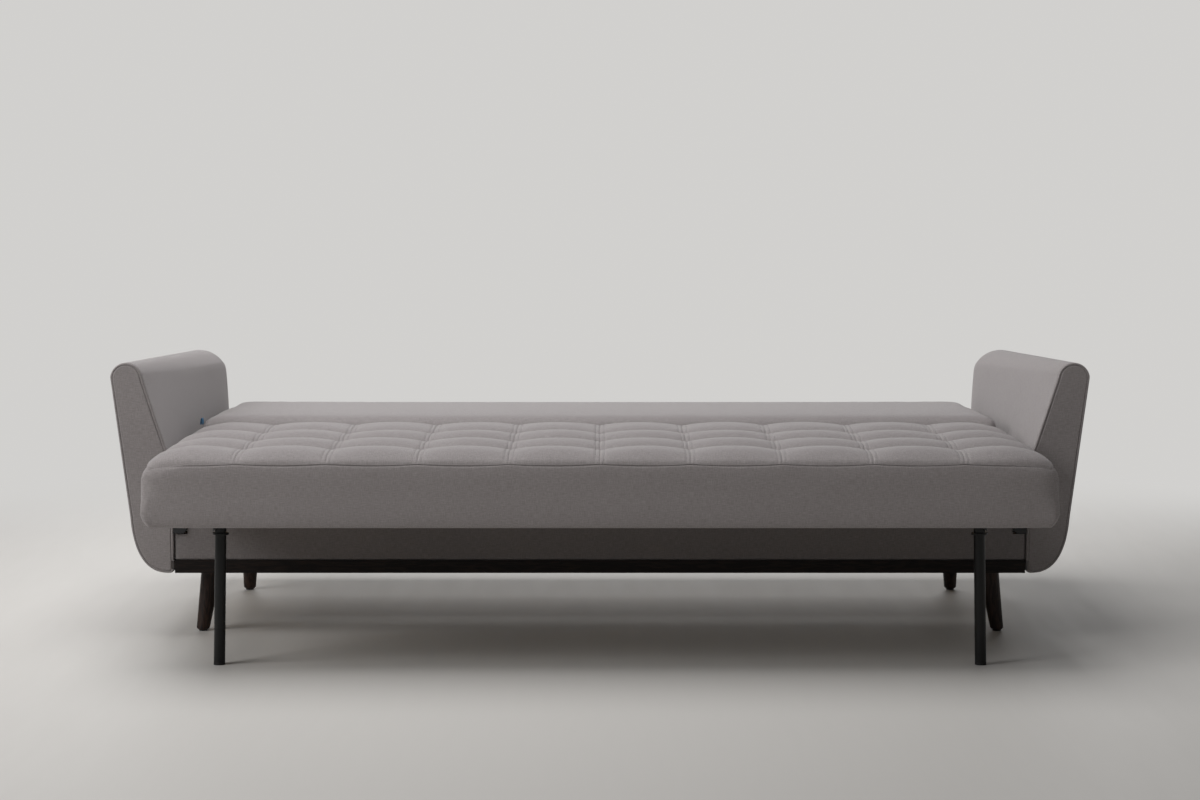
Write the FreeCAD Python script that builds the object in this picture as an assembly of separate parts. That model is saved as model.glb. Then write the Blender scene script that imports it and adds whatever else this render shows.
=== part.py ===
"""Three-seat futon sofa bed, opened out as a bed.

The seat slides forward on two channels, the back folds down flat behind it,
and two swivel steel legs hold the seat's front edge.
Millimetres, +Z up, front towards -Y, origin on the floor under the middle
of the whole object.
"""
import FreeCAD
import Part
import math
import os

V = FreeCAD.Vector

# ---- overall ---------------------------------------------------------------
SEAT_WIDTH = 1950.0        # upholstered width of the seat and of the back
SEAT_DEPTH = 686.0
BACK_LENGTH = 627.0        # front edge to rear edge with the back laid flat
SEAT_PULL = 441.0          # how far the seat front stands ahead of the arms
SLIDE_TRAVEL = 440.0       # bed to sofa
SEAT_BACK_GAP = 20.0
ARM_GAP = 13.0             # seat side to the arm's inner face
ARM_WIDTH = 141.0          # inner face to the outermost point
ARM_DEPTH = 920.0
ARM_HEIGHT = 643.0

# ---- heights ---------------------------------------------------------------
SEAT_UNDER_Z = 320.0       # underside of the seat and back frames
TUBE = 25.0                # square frame tube
TUBE_WALL = 1.5
SEAT_FOAM = 138.0
BACK_FOAM = 128.0
PLINTH_BOTTOM_Z = 154.0
PLINTH_TOP_Z = 184.0
FASCIA_TOP_Z = 283.0
BEAM_TOP_Z = 245.0

# ---- cushions --------------------------------------------------------------
SEAT_CORNER = 42.0         # plan corner radius
SEAT_TOP_EDGE = 38.0       # rounding of the top front and side edges
BACK_EDGE = 45.0           # rounding of the edge that swings past the seat
FRAME_INSET = 12.0         # cushion side to the frame tube under it
BACK_REAR_INSET = 2.0

# ---- slats -----------------------------------------------------------------
BEARER_HEIGHT = 12.0
BEARER_WIDTH = 25.0
BEARER_X = 320.0
SLAT_WIDTH = 60.0
SLAT_THICKNESS = 8.0
SLAT_PITCH = 80.0
SEAT_SLATS = 6
BACK_SLATS = 6
HOLDER_LENGTH = 8.0        # along the slat
HOLDER_WALL = 3.0
SLAT_SEAT = 2.0            # slat end to the side tube, inside the holder

# ---- base ------------------------------------------------------------------
PLINTH_THICKNESS = 20.0
PLINTH_SETBACK = 2.0
FASCIA_THICKNESS = 16.0
FASCIA_SETBACK = 4.0
BEAM_THICKNESS = 28.0
SIDE_BEAM_WIDTH = 100.0
SIDE_BEAM_THICKNESS = 27.0
BASE_SIDE_GAP = 2.0        # base woodwork to the arm's inner face
BRACE_WIDTH = 60.0
BRACE_THICKNESS = 22.0
BRACE_PLACES = (150.0, 420.0, 690.0)
REAR_RAIL_Y = 882.0        # front face of the rear rail, from the arm front
REAR_RAIL_THICKNESS = 18.0
REAR_RAIL_TOP_Z = 312.0
BUMPER_PLACES = (-800.0, -270.0, 270.0, 800.0)
BUMPER_LENGTH = 40.0
BUMPER_CLEARANCE = 0.3     # under the folded-down back

# ---- arms ------------------------------------------------------------------
ARM_BOTTOM_Z = 154.0
ARM_BEND_Z = 400.0         # the inner face is upright up to here
ARM_TOP_THICKNESS = 74.0   # at the front
ARM_REAR_INNER_SHIFT = 15.0
ARM_REAR_OUTER_INSET = 7.0
ARM_REAR_DROP = 32.0
ARM_SHOULDER_DROP = 34.0   # top to where the rounded crown starts
ARM_BELLY_INSET = 41.0     # outermost point to the start of the round underside
ARM_BELLY_Z = 285.0
ARM_UNDER_SIDE = 0.234      # share of the way from belly to sole at the underside's third point
ARM_UNDER_RISE = 0.293      # share of the belly's height at the same point
ARM_SOLE = 16.0            # flat strip under the arm
PANEL_COVER = 12.0         # padding between the panel and the inner face
PANEL_THICKNESS = 18.0
PANEL_TOP_MARGIN = 8.0
PANEL_END_COVER = 24.0
POST_PLACES = (60.0, 440.0, 820.0)
POST_WIDTH = 40.0
POST_THICKNESS = 18.0
POST_OFFSET = 58.0         # arm inner face to the post
POST_BOTTOM_Z = 250.0
POST_FOOT_HEIGHT = 120.0
BATTEN_SIZE = 30.0
BATTEN_TOP_Z = 570.0

# ---- slide -----------------------------------------------------------------
CHANNEL_BOTTOM_Z = 247.0
CHANNEL_HEIGHT = 25.0
CHANNEL_WIDTH = 30.0
CHANNEL_WALL = 2.5
CHANNEL_END = 700.0
CAP_LENGTH = 24.0          # plastic end cap, which is the front stop
CAP_PROUD = 2.0
CAP_CHAMFER = 7.0
STOP_LENGTH = 14.0
GLIDE_CLEARANCE = 0.3
GLIDE_LENGTH = 30.0
GLIDE_SIDE_GAP = 3.0       # glide to the channel's web, over the screw heads
RUNNER_END = 235.0
RUNNER_THICKNESS = 6.0
RUNNER_BOTTOM_Z = 253.0
RUNNER_GAP = 8.0           # runner plate to the channel's open side
SCREW_PLACES = (60.0, 260.0, 460.0, 660.0)
SCREW_RADIUS = 2.5
SCREW_HEAD_RADIUS = 5.0
SCREW_HEAD = 2.0
SCREW_LENGTH = 24.0

# ---- fold of the back ------------------------------------------------------
PIVOT_FROM_EDGE = 100.0    # back's front edge to the pivot
PIVOT_Z = 400.0
HINGE_PLATE = 4.0
HINGE_COVER_GAP = 2.0      # cushion side to the seat's hinge plate
HINGE_PLATE_GAP = 1.0
HINGE_EYE = 20.0
HINGE_ARM = 240.0          # plate length away from the pivot
HINGE_BAND = 21.0          # height of the plate's flat part
HINGE_BAND_LIFT = 2.0
PIN_RADIUS = 6.0
PIN_OVERHANG = 1.0
RUNNING_CLEARANCE = 0.05
STUD_RADIUS = 8.0
STUD_NECK = 4.0
SEAT_STUD_PLACES = (170.0, 220.0)   # from the pivot
BACK_STUD_PLACES = (100.0, 200.0)

# ---- steel legs ------------------------------------------------------------
SWIVEL_X = 831.0
SWIVEL_FROM_FRONT = 133.0
SWIVEL_Z = 312.0
SWIVEL_GAP = 0.3
LEG_RADIUS = 12.5
LEG_WALL = 1.6
CUTTER = 1280.0            # side of the block that trims a leg
LEG_SPLAY = 1.3            # degrees, foot outwards
LEG_COLLAR_RADIUS = 18.0
LEG_COLLAR_Z = 289.0
LEG_COLLAR_HEIGHT = 3.6
LEG_HEAD_Z = 280.0         # the tube is solid above this height
LEG_PIN_RADIUS = 3.0
LEG_PIN_REACH = 10.0
BRACKET_PLATE = 5.0
BRACKET_WIDTH = 110.0
CAP_HEIGHT = 26.0
CAP_SOLE = 6.0

# ---- wooden legs -----------------------------------------------------------
WOOD_LEG_TOP_RADIUS = 25.0
WOOD_LEG_FOOT_RADIUS = 15.5
WOOD_LEG_CHAMFER = 4.0
WOOD_LEG_GLIDE = 3.0
WOOD_LEG_GLIDE_RADIUS = 10.0
FRONT_LEG_TOP = (69.0, 134.0)    # in from the arm's inner face, back from its front
FRONT_LEG_FOOT = (49.0, 109.0)
REAR_LEG_TOP = (84.0, 676.0)
REAR_LEG_FOOT = (77.0, 703.0)
LEG_PLATE_SIZE = 70.0
LEG_PLATE_THICKNESS = 2.5
LEG_BOLT_RADIUS = 4.0
LEG_BOLT_IN_WOOD = 24.0
LEG_BOLT_LENGTH = 44.0
BOLT_CLEARANCE = 0.1
ARM_BOLT_RADIUS = 4.0
ARM_BOLT_HEAD_RADIUS = 8.0
ARM_BOLT_HEAD = 5.0
ARM_BOLT_PLACES = (90.0, 330.0, 580.0, 820.0)

# ---- worked out from the values above ----------------------------------------
ARM_FRONT_Y = (SEAT_PULL - ARM_DEPTH) / 2
ARM_REAR_Y = ARM_FRONT_Y + ARM_DEPTH
SEAT_FRONT_Y = ARM_FRONT_Y - SEAT_PULL
SEAT_REAR_Y = SEAT_FRONT_Y + SEAT_DEPTH
BACK_FRONT_Y = SEAT_REAR_Y + SEAT_BACK_GAP
BACK_REAR_Y = BACK_FRONT_Y + BACK_LENGTH
SEAT_X = SEAT_WIDTH / 2
ARM_X = SEAT_X + ARM_GAP
OUTER_X = ARM_X + ARM_WIDTH
FRAME_X = SEAT_X - FRAME_INSET
TUBE_TOP_Z = SEAT_UNDER_Z + TUBE
BASE_X = ARM_X - BASE_SIDE_GAP
SIDE_BEAM_TOP_Z = PLINTH_TOP_Z
SIDE_BEAM_BOTTOM_Z = SIDE_BEAM_TOP_Z - SIDE_BEAM_THICKNESS
SIDE_BEAM_X = BASE_X - SIDE_BEAM_WIDTH
CHANNEL_X = ARM_X - CHANNEL_WIDTH
CHANNEL_TOP_Z = CHANNEL_BOTTOM_Z + CHANNEL_HEIGHT
BEAM_X = CHANNEL_X - BASE_SIDE_GAP
PLINTH_Y = ARM_FRONT_Y + PLINTH_SETBACK
BEAM_Y = ARM_FRONT_Y + FASCIA_SETBACK + FASCIA_THICKNESS
RUNNER_START = CAP_LENGTH + GLIDE_CLEARANCE
PANEL_X = ARM_X + PANEL_COVER
POST_X = ARM_X + POST_OFFSET
PIVOT_Y = BACK_FRONT_Y + PIVOT_FROM_EDGE
SWIVEL_Y = SEAT_FRONT_Y + SWIVEL_FROM_FRONT
SEAT_HINGE_X = SEAT_X + HINGE_COVER_GAP
BACK_HINGE_X = SEAT_HINGE_X + HINGE_PLATE + HINGE_PLATE_GAP
LEG_PLATE_Z = SIDE_BEAM_BOTTOM_Z - LEG_PLATE_THICKNESS
ARM_BOLT_Z = (SIDE_BEAM_BOTTOM_Z + SIDE_BEAM_TOP_Z) / 2


# ---- small helpers -----------------------------------------------------------
def block(x0, x1, y0, y1, z0, z1):
    """A box between two corners."""
    return Part.makeBox(x1 - x0, y1 - y0, z1 - z0, V(x0, y0, z0))


def rod(start, direction, length, radius):
    """A cylinder from a point along a direction."""
    return Part.makeCylinder(radius, length, start, direction)


def mirrored(shape):
    """The left-hand copy of a right-hand piece."""
    return shape.mirror(V(0, 0, 0), V(1, 0, 0))


def both(shapes):
    """Right-hand pieces with their left-hand copies."""
    return shapes + [mirrored(shape) for shape in shapes]


def save(name, shapes):
    """Write one node, as one solid or as a group of separate solids."""
    shape = shapes[0] if len(shapes) == 1 else Part.makeCompound(shapes)
    shape.exportStep("parts/" + name + ".step")


def save_pair(name, shape):
    """Write a right-hand piece and its mirrored left-hand twin."""
    save("right_" + name, [shape])
    save("left_" + name, [mirrored(shape)])


def tube_x(x0, x1, y0):
    """Hollow square frame tube running across the object."""
    outer = block(x0, x1, y0, y0 + TUBE, SEAT_UNDER_Z, TUBE_TOP_Z)
    bore = block(x0, x1, y0 + TUBE_WALL, y0 + TUBE - TUBE_WALL,
                 SEAT_UNDER_Z + TUBE_WALL, TUBE_TOP_Z - TUBE_WALL)
    return outer.cut(bore)


def tube_y(x0, y0, y1):
    """Hollow square frame tube running front to back."""
    outer = block(x0, x0 + TUBE, y0, y1, SEAT_UNDER_Z, TUBE_TOP_Z)
    bore = block(x0 + TUBE_WALL, x0 + TUBE - TUBE_WALL, y0, y1,
                 SEAT_UNDER_Z + TUBE_WALL, TUBE_TOP_Z - TUBE_WALL)
    return outer.cut(bore)


def edges_along(shape, axis, test):
    """Edges of a shape that run along one axis and whose middle passes a test."""
    found = []
    for edge in shape.Edges:
        start = edge.Vertexes[0].Point
        end = edge.Vertexes[-1].Point
        run = end.sub(start)
        if run.Length > 1 and abs(run.normalize().dot(axis)) > 0.999 and test(start.add(end).multiply(0.5)):
            found.append(edge)
    return found


# ---- cushions ------------------------------------------------------------------
def seat_cushion():
    """Foam slab with rounded plan corners and softened top edges."""
    slab = block(-SEAT_X, SEAT_X, SEAT_FRONT_Y, SEAT_REAR_Y, TUBE_TOP_Z, TUBE_TOP_Z + SEAT_FOAM)
    upright = edges_along(slab, V(0, 0, 1), lambda p: True)
    slab = slab.makeFillet(SEAT_CORNER, upright)
    top = [edge for edge in slab.Edges
           if all(abs(v.Point.z - TUBE_TOP_Z - SEAT_FOAM) < 0.01 for v in edge.Vertexes)]
    return slab.makeFillet(SEAT_TOP_EDGE, top)


def back_cushion():
    """Foam slab whose edge next to the seat is rounded, so that it swings clear."""
    top = TUBE_TOP_Z + BACK_FOAM
    slab = block(-SEAT_X, SEAT_X, BACK_FRONT_Y, BACK_REAR_Y, TUBE_TOP_Z, top)
    rounded = edges_along(slab, V(1, 0, 0), lambda p: p.z > top - 1)
    return slab.makeFillet(BACK_EDGE, rounded)


# ---- seat and back frames --------------------------------------------------------
def frame_tubes(front, rear):
    """Front, rear and right-hand side tubes of one frame."""
    front_tube = tube_x(-FRAME_X, FRAME_X, front)
    rear_tube = tube_x(-FRAME_X, FRAME_X, rear - TUBE)
    side_tube = tube_y(FRAME_X - TUBE, front + TUBE, rear - TUBE)
    return front_tube, rear_tube, side_tube


def bearers(front, rear):
    """Two flat bars under the slats, between the front and rear tubes."""
    bar = block(BEARER_X, BEARER_X + BEARER_WIDTH, front + TUBE, rear - TUBE,
                SEAT_UNDER_Z, SEAT_UNDER_Z + BEARER_HEIGHT)
    return both([bar])


def slats(first, count):
    """Sprung slats and the plastic holders at their ends."""
    slat_x = FRAME_X - TUBE - SLAT_SEAT
    z0 = SEAT_UNDER_Z + BEARER_HEIGHT
    boards = []
    holders = []
    for index in range(count):
        y0 = first + index * SLAT_PITCH
        board = block(-slat_x, slat_x, y0, y0 + SLAT_WIDTH, z0, z0 + SLAT_THICKNESS)
        holder = block(FRAME_X - TUBE - HOLDER_LENGTH, FRAME_X - TUBE,
                       y0 - HOLDER_WALL, y0 + SLAT_WIDTH + HOLDER_WALL,
                       z0 - HOLDER_WALL, z0 + SLAT_THICKNESS + HOLDER_WALL)
        boards.append(board)
        holders += both([holder.cut(board)])
    return boards, holders


# ---- arms ---------------------------------------------------------------------------
def arm_outline(y, inner_top_x, outer_x, top_z):
    """Closed section of the right arm at one depth."""
    shoulder_z = top_z - ARM_SHOULDER_DROP
    belly_x = outer_x - ARM_BELLY_INSET
    sole_x = ARM_X + ARM_SOLE
    foot = V(ARM_X, y, ARM_BOTTOM_Z)
    bend = V(ARM_X, y, ARM_BEND_Z)
    inner = V(inner_top_x, y, shoulder_z)
    crown = V((inner_top_x + outer_x) / 2, y, top_z)
    outer = V(outer_x, y, shoulder_z)
    belly = V(belly_x, y, ARM_BELLY_Z)
    sole = V(sole_x, y, ARM_BOTTOM_Z)
    under = V(belly_x - (belly_x - sole_x) * ARM_UNDER_SIDE, y,
              ARM_BOTTOM_Z + (ARM_BELLY_Z - ARM_BOTTOM_Z) * ARM_UNDER_RISE)
    edges = [Part.LineSegment(foot, bend).toShape(),
             Part.LineSegment(bend, inner).toShape(),
             Part.Arc(inner, crown, outer).toShape(),
             Part.LineSegment(outer, belly).toShape(),
             Part.Arc(belly, under, sole).toShape(),
             Part.LineSegment(sole, foot).toShape()]
    return Part.Wire(edges)


def arm_body():
    """Right arm's outer shape: flared at the front, upright and lower at the rear."""
    front = arm_outline(ARM_FRONT_Y, OUTER_X - ARM_TOP_THICKNESS, OUTER_X, ARM_HEIGHT)
    rear = arm_outline(ARM_REAR_Y, ARM_X + ARM_REAR_INNER_SHIFT, OUTER_X - ARM_REAR_OUTER_INSET,
                       ARM_HEIGHT - ARM_REAR_DROP)
    return Part.makeLoft([front, rear], True, True)


def arm_panel():
    """Upright board inside the right arm, which the base is bolted to."""
    return block(PANEL_X, PANEL_X + PANEL_THICKNESS,
                 ARM_FRONT_Y + PANEL_END_COVER, ARM_REAR_Y - PANEL_END_COVER,
                 SIDE_BEAM_BOTTOM_Z, ARM_BEND_Z - PANEL_TOP_MARGIN)


def arm_frame():
    """Posts that stand off the panel and carry the batten under the arm's crown."""
    pieces = []
    for place in POST_PLACES:
        y0 = ARM_FRONT_Y + place
        post = block(POST_X, POST_X + POST_THICKNESS, y0, y0 + POST_WIDTH, POST_BOTTOM_Z, BATTEN_TOP_Z)
        foot = block(PANEL_X + PANEL_THICKNESS, POST_X, y0, y0 + POST_WIDTH,
                     POST_BOTTOM_Z, POST_BOTTOM_Z + POST_FOOT_HEIGHT)
        pieces.append(post.fuse(foot).removeSplitter())
    batten_x = POST_X + POST_THICKNESS
    batten = block(batten_x, batten_x + BATTEN_SIZE,
                   ARM_FRONT_Y + PANEL_END_COVER, ARM_REAR_Y - PANEL_END_COVER,
                   BATTEN_TOP_Z - BATTEN_SIZE, BATTEN_TOP_Z)
    return pieces + [batten]


# ---- base --------------------------------------------------------------------------
def plinth_rail():
    """Dark wooden rail along the front."""
    return block(-BASE_X, BASE_X, PLINTH_Y, PLINTH_Y + PLINTH_THICKNESS, PLINTH_BOTTOM_Z, PLINTH_TOP_Z)


def fascia_panel():
    """Upholstered board over the plinth, notched at both ends for the channels."""
    y0 = ARM_FRONT_Y + FASCIA_SETBACK
    notch_z = CHANNEL_BOTTOM_Z - BASE_SIDE_GAP
    lower = block(-BASE_X, BASE_X, y0, y0 + FASCIA_THICKNESS, PLINTH_TOP_Z, notch_z)
    upper = block(-BEAM_X, BEAM_X, y0, y0 + FASCIA_THICKNESS, notch_z, FASCIA_TOP_Z)
    return lower.fuse(upper).removeSplitter()


def cross_beam(y0):
    """Beam across the base, standing on the side beams."""
    return block(-BEAM_X, BEAM_X, y0, y0 + BEAM_THICKNESS, SIDE_BEAM_TOP_Z, BEAM_TOP_Z)


def side_beam():
    """Right-hand board that the wooden legs screw into."""
    return block(SIDE_BEAM_X, BASE_X, PLINTH_Y + PLINTH_THICKNESS, ARM_FRONT_Y + REAR_RAIL_Y,
                 SIDE_BEAM_BOTTOM_Z, SIDE_BEAM_TOP_Z)


def rear_rail():
    """Board across the back of the base, which the flat back comes down on."""
    y0 = ARM_FRONT_Y + REAR_RAIL_Y
    return block(-BASE_X, BASE_X, y0, y0 + REAR_RAIL_THICKNESS, SIDE_BEAM_BOTTOM_Z, REAR_RAIL_TOP_Z)


def cross_braces():
    """Three flat boards between the side beams."""
    z0 = SIDE_BEAM_BOTTOM_Z + (SIDE_BEAM_THICKNESS - BRACE_THICKNESS) / 2
    return [block(-SIDE_BEAM_X, SIDE_BEAM_X, ARM_FRONT_Y + place, ARM_FRONT_Y + place + BRACE_WIDTH,
                  z0, z0 + BRACE_THICKNESS) for place in BRACE_PLACES]


def back_bumpers():
    """Rubber pads on the rear rail."""
    y0 = ARM_FRONT_Y + REAR_RAIL_Y
    return [block(place - BUMPER_LENGTH / 2, place + BUMPER_LENGTH / 2, y0, y0 + REAR_RAIL_THICKNESS,
                  REAR_RAIL_TOP_Z, SEAT_UNDER_Z - BUMPER_CLEARANCE) for place in BUMPER_PLACES]


def arm_bolts():
    """Bolts through the right side beam into the arm panel."""
    bolts = []
    for place in ARM_BOLT_PLACES:
        start = V(SIDE_BEAM_X, ARM_FRONT_Y + place, ARM_BOLT_Z)
        shank = rod(start, V(1, 0, 0), PANEL_X + PANEL_THICKNESS - SIDE_BEAM_X, ARM_BOLT_RADIUS)
        head = rod(start, V(-1, 0, 0), ARM_BOLT_HEAD, ARM_BOLT_HEAD_RADIUS)
        bolts.append(shank.fuse(head).removeSplitter())
    return bolts


def arm_bolt_holes():
    """Clearance holes for the arm bolts."""
    return [rod(V(SIDE_BEAM_X, ARM_FRONT_Y + place, ARM_BOLT_Z), V(1, 0, 0),
                PANEL_X + PANEL_THICKNESS - SIDE_BEAM_X, ARM_BOLT_RADIUS + BOLT_CLEARANCE)
            for place in ARM_BOLT_PLACES]


# ---- wooden legs ---------------------------------------------------------------------
def leg_point(offset):
    """Place on the right-hand side from an offset off the arm's front inner corner."""
    return ARM_X - offset[0], ARM_FRONT_Y + offset[1]


def ring(centre, z, radius):
    """Horizontal circle as a wire."""
    return Part.Wire([Part.Circle(V(centre[0], centre[1], z), V(0, 0, 1), radius).toShape()])


def wooden_leg(top, foot):
    """Tapered, splayed leg with a small chamfer at the foot."""
    top_point = leg_point(top)
    foot_point = leg_point(foot)
    sections = [ring(foot_point, WOOD_LEG_GLIDE, WOOD_LEG_FOOT_RADIUS - WOOD_LEG_CHAMFER),
                ring(foot_point, WOOD_LEG_GLIDE + WOOD_LEG_CHAMFER, WOOD_LEG_FOOT_RADIUS),
                ring(top_point, LEG_PLATE_Z, WOOD_LEG_TOP_RADIUS)]
    leg = Part.makeLoft(sections, True, True)
    hole = rod(V(top_point[0], top_point[1], LEG_PLATE_Z - LEG_BOLT_IN_WOOD), V(0, 0, 1),
               LEG_BOLT_LENGTH, LEG_BOLT_RADIUS + BOLT_CLEARANCE)
    return leg.cut(hole)


def leg_plate(top):
    """Steel plate between a wooden leg and the side beam."""
    x, y = leg_point(top)
    half = LEG_PLATE_SIZE / 2
    plate = block(x - half, x + half, y - half, y + half, LEG_PLATE_Z, SIDE_BEAM_BOTTOM_Z)
    return plate.cut(leg_bolt_hole(top))


def leg_bolt(top):
    """Hanger bolt from a wooden leg up into the side beam."""
    x, y = leg_point(top)
    return rod(V(x, y, LEG_PLATE_Z - LEG_BOLT_IN_WOOD), V(0, 0, 1), LEG_BOLT_LENGTH, LEG_BOLT_RADIUS)


def leg_bolt_hole(top):
    """Clearance hole round a hanger bolt."""
    x, y = leg_point(top)
    return rod(V(x, y, LEG_PLATE_Z - LEG_BOLT_IN_WOOD), V(0, 0, 1), LEG_BOLT_LENGTH,
               LEG_BOLT_RADIUS + BOLT_CLEARANCE)


def leg_glide(foot):
    """Plastic disc nailed under a wooden leg."""
    x, y = leg_point(foot)
    return rod(V(x, y, 0), V(0, 0, 1), WOOD_LEG_GLIDE, WOOD_LEG_GLIDE_RADIUS)


# ---- slide -----------------------------------------------------------------------------
def slide_channel():
    """Right-hand C channel, open towards the middle."""
    y0 = ARM_FRONT_Y + CAP_LENGTH
    y1 = ARM_FRONT_Y + CHANNEL_END
    outer = block(CHANNEL_X, ARM_X, y0, y1, CHANNEL_BOTTOM_Z, CHANNEL_TOP_Z)
    bore = block(CHANNEL_X, ARM_X - CHANNEL_WALL, y0, y1,
                 CHANNEL_BOTTOM_Z + CHANNEL_WALL, CHANNEL_TOP_Z - CHANNEL_WALL)
    return outer.cut(bore)


def channel_stops():
    """Front end cap and rear stop of the right-hand channel."""
    cap = block(CHANNEL_X, ARM_X, ARM_FRONT_Y - CAP_PROUD, ARM_FRONT_Y + CAP_LENGTH,
                CHANNEL_BOTTOM_Z, CHANNEL_TOP_Z)
    corner = edges_along(cap, V(0, 1, 0),
                         lambda p: p.x < CHANNEL_X + 1 and p.z < CHANNEL_BOTTOM_Z + 1)
    cap = cap.makeChamfer(CAP_CHAMFER, corner)
    stop_y = ARM_FRONT_Y + RUNNER_END + SLIDE_TRAVEL + GLIDE_CLEARANCE
    stop = block(CHANNEL_X, ARM_X - CHANNEL_WALL, stop_y, stop_y + STOP_LENGTH,
                 CHANNEL_BOTTOM_Z + CHANNEL_WALL, CHANNEL_TOP_Z - CHANNEL_WALL)
    return [cap, stop]


def channel_screws():
    """Screws from inside the right-hand channel into the arm panel."""
    screws = []
    for place in SCREW_PLACES:
        start = V(ARM_X - CHANNEL_WALL, ARM_FRONT_Y + place, CHANNEL_BOTTOM_Z + CHANNEL_HEIGHT / 2)
        shank = rod(start, V(1, 0, 0), SCREW_LENGTH, SCREW_RADIUS)
        head = rod(start, V(-1, 0, 0), SCREW_HEAD, SCREW_HEAD_RADIUS)
        screws.append(shank.fuse(head).removeSplitter())
    return screws


def channel_screw_holes():
    """Clearance holes for the channel screws."""
    return [rod(V(ARM_X - CHANNEL_WALL, ARM_FRONT_Y + place, CHANNEL_BOTTOM_Z + CHANNEL_HEIGHT / 2),
                V(1, 0, 0), SCREW_LENGTH, SCREW_RADIUS + BOLT_CLEARANCE) for place in SCREW_PLACES]


def runner_plate():
    """Right-hand plate that hangs from the seat's side tube beside the channel."""
    x1 = CHANNEL_X - RUNNER_GAP
    return block(x1 - RUNNER_THICKNESS, x1, ARM_FRONT_Y + RUNNER_START, ARM_FRONT_Y + RUNNER_END,
                 RUNNER_BOTTOM_Z, SEAT_UNDER_Z)


def runner_glides():
    """Three nylon blocks on the right-hand runner plate, inside the channel."""
    x0 = CHANNEL_X - RUNNER_GAP
    x1 = ARM_X - CHANNEL_WALL - GLIDE_SIDE_GAP
    z0 = CHANNEL_BOTTOM_Z + CHANNEL_WALL + GLIDE_CLEARANCE
    z1 = CHANNEL_TOP_Z - CHANNEL_WALL - GLIDE_CLEARANCE
    span = RUNNER_END - RUNNER_START - GLIDE_LENGTH
    glides = []
    for share in (0.0, 0.5, 1.0):
        y0 = ARM_FRONT_Y + RUNNER_START + span * share
        glides.append(block(x0, x1, y0, y0 + GLIDE_LENGTH, z0, z1))
    return glides


# ---- fold of the back ---------------------------------------------------------------------
def hinge_plate(x0, direction, places):
    """Cranked plate from the pivot down to a frame's side, towards the front or the rear."""
    band_z = SEAT_UNDER_Z + HINGE_BAND_LIFT
    near = PIVOT_Y - direction * HINGE_EYE
    far = PIVOT_Y + direction * HINGE_ARM
    band = block(x0, x0 + HINGE_PLATE, min(near, far), max(near, far), band_z, band_z + HINGE_BAND)
    riser = block(x0, x0 + HINGE_PLATE, PIVOT_Y - HINGE_EYE, PIVOT_Y + HINGE_EYE, band_z, PIVOT_Z)
    eye = rod(V(x0, PIVOT_Y, PIVOT_Z), V(1, 0, 0), HINGE_PLATE, HINGE_EYE)
    bore = rod(V(x0, PIVOT_Y, PIVOT_Z), V(1, 0, 0), HINGE_PLATE, PIN_RADIUS + RUNNING_CLEARANCE)
    plate = band.fuse(riser).fuse(eye).removeSplitter().cut(bore)
    for stud in hinge_studs(x0, direction, places):
        plate = plate.cut(stud)
    return plate


def hinge_studs(x0, direction, places):
    """Shouldered studs between the frame's side tube and a hinge plate."""
    studs = []
    z = SEAT_UNDER_Z + HINGE_BAND_LIFT + HINGE_BAND / 2
    for place in places:
        y = PIVOT_Y + direction * place
        shoulder = rod(V(FRAME_X, y, z), V(1, 0, 0), x0 - FRAME_X, STUD_RADIUS)
        neck = rod(V(FRAME_X, y, z), V(1, 0, 0), x0 + HINGE_PLATE - FRAME_X, STUD_NECK)
        studs.append(shoulder.fuse(neck).removeSplitter())
    return studs


def hinge_pin():
    """Right-hand pin that the back turns on."""
    length = BACK_HINGE_X + HINGE_PLATE + PIN_OVERHANG - (SEAT_HINGE_X - PIN_OVERHANG)
    return rod(V(SEAT_HINGE_X - PIN_OVERHANG, PIVOT_Y, PIVOT_Z), V(1, 0, 0), length, PIN_RADIUS)


# ---- steel legs -----------------------------------------------------------------------------
def swivel_point():
    """Centre of the right leg's swivel face."""
    return V(SWIVEL_X, SWIVEL_Y, SWIVEL_Z)


def swivel_axis():
    """Right leg's swivel axis, halfway between straight down and inwards."""
    return V(-1, 0, -1).normalize()


def below_swivel(gap):
    """Large block on the leg's side of the swivel face."""
    slab = Part.makeBox(CUTTER, CUTTER, CUTTER, V(-CUTTER / 2, -CUTTER / 2, 0))
    slab.Placement = FreeCAD.Placement(swivel_point().add(swivel_axis().multiply(gap)),
                                       FreeCAD.Rotation(V(0, 0, 1), swivel_axis()))
    return slab


def splayed(shape):
    """Turn a leg piece about the swivel centre by the leg's splay."""
    turned = shape.copy()
    turned.rotate(swivel_point(), V(0, 1, 0), -LEG_SPLAY)
    return turned


def leg_pin():
    """Right-hand swivel pin."""
    start = swivel_point().sub(swivel_axis().multiply(LEG_PIN_REACH))
    return rod(start, swivel_axis(), 2 * LEG_PIN_REACH, LEG_PIN_RADIUS)


def leg_pin_hole():
    """Running hole round the swivel pin."""
    start = swivel_point().sub(swivel_axis().multiply(LEG_PIN_REACH))
    return rod(start, swivel_axis(), 2 * LEG_PIN_REACH, LEG_PIN_RADIUS + RUNNING_CLEARANCE)


def steel_leg():
    """Right tube leg: hollow shaft, solid head with a collar, cut at 45 degrees on top."""
    x, y = SWIVEL_X, SWIVEL_Y
    top = SWIVEL_Z + LEG_RADIUS * 2
    shaft = rod(V(x, y, CAP_SOLE), V(0, 0, 1), top - CAP_SOLE, LEG_RADIUS)
    bore = rod(V(x, y, CAP_SOLE), V(0, 0, 1), LEG_HEAD_Z - CAP_SOLE, LEG_RADIUS - LEG_WALL)
    collar = rod(V(x, y, LEG_COLLAR_Z), V(0, 0, 1), LEG_COLLAR_HEIGHT, LEG_COLLAR_RADIUS)
    leg = splayed(shaft.fuse(collar).removeSplitter().cut(bore))
    return leg.common(below_swivel(0)).cut(leg_pin_hole())


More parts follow.
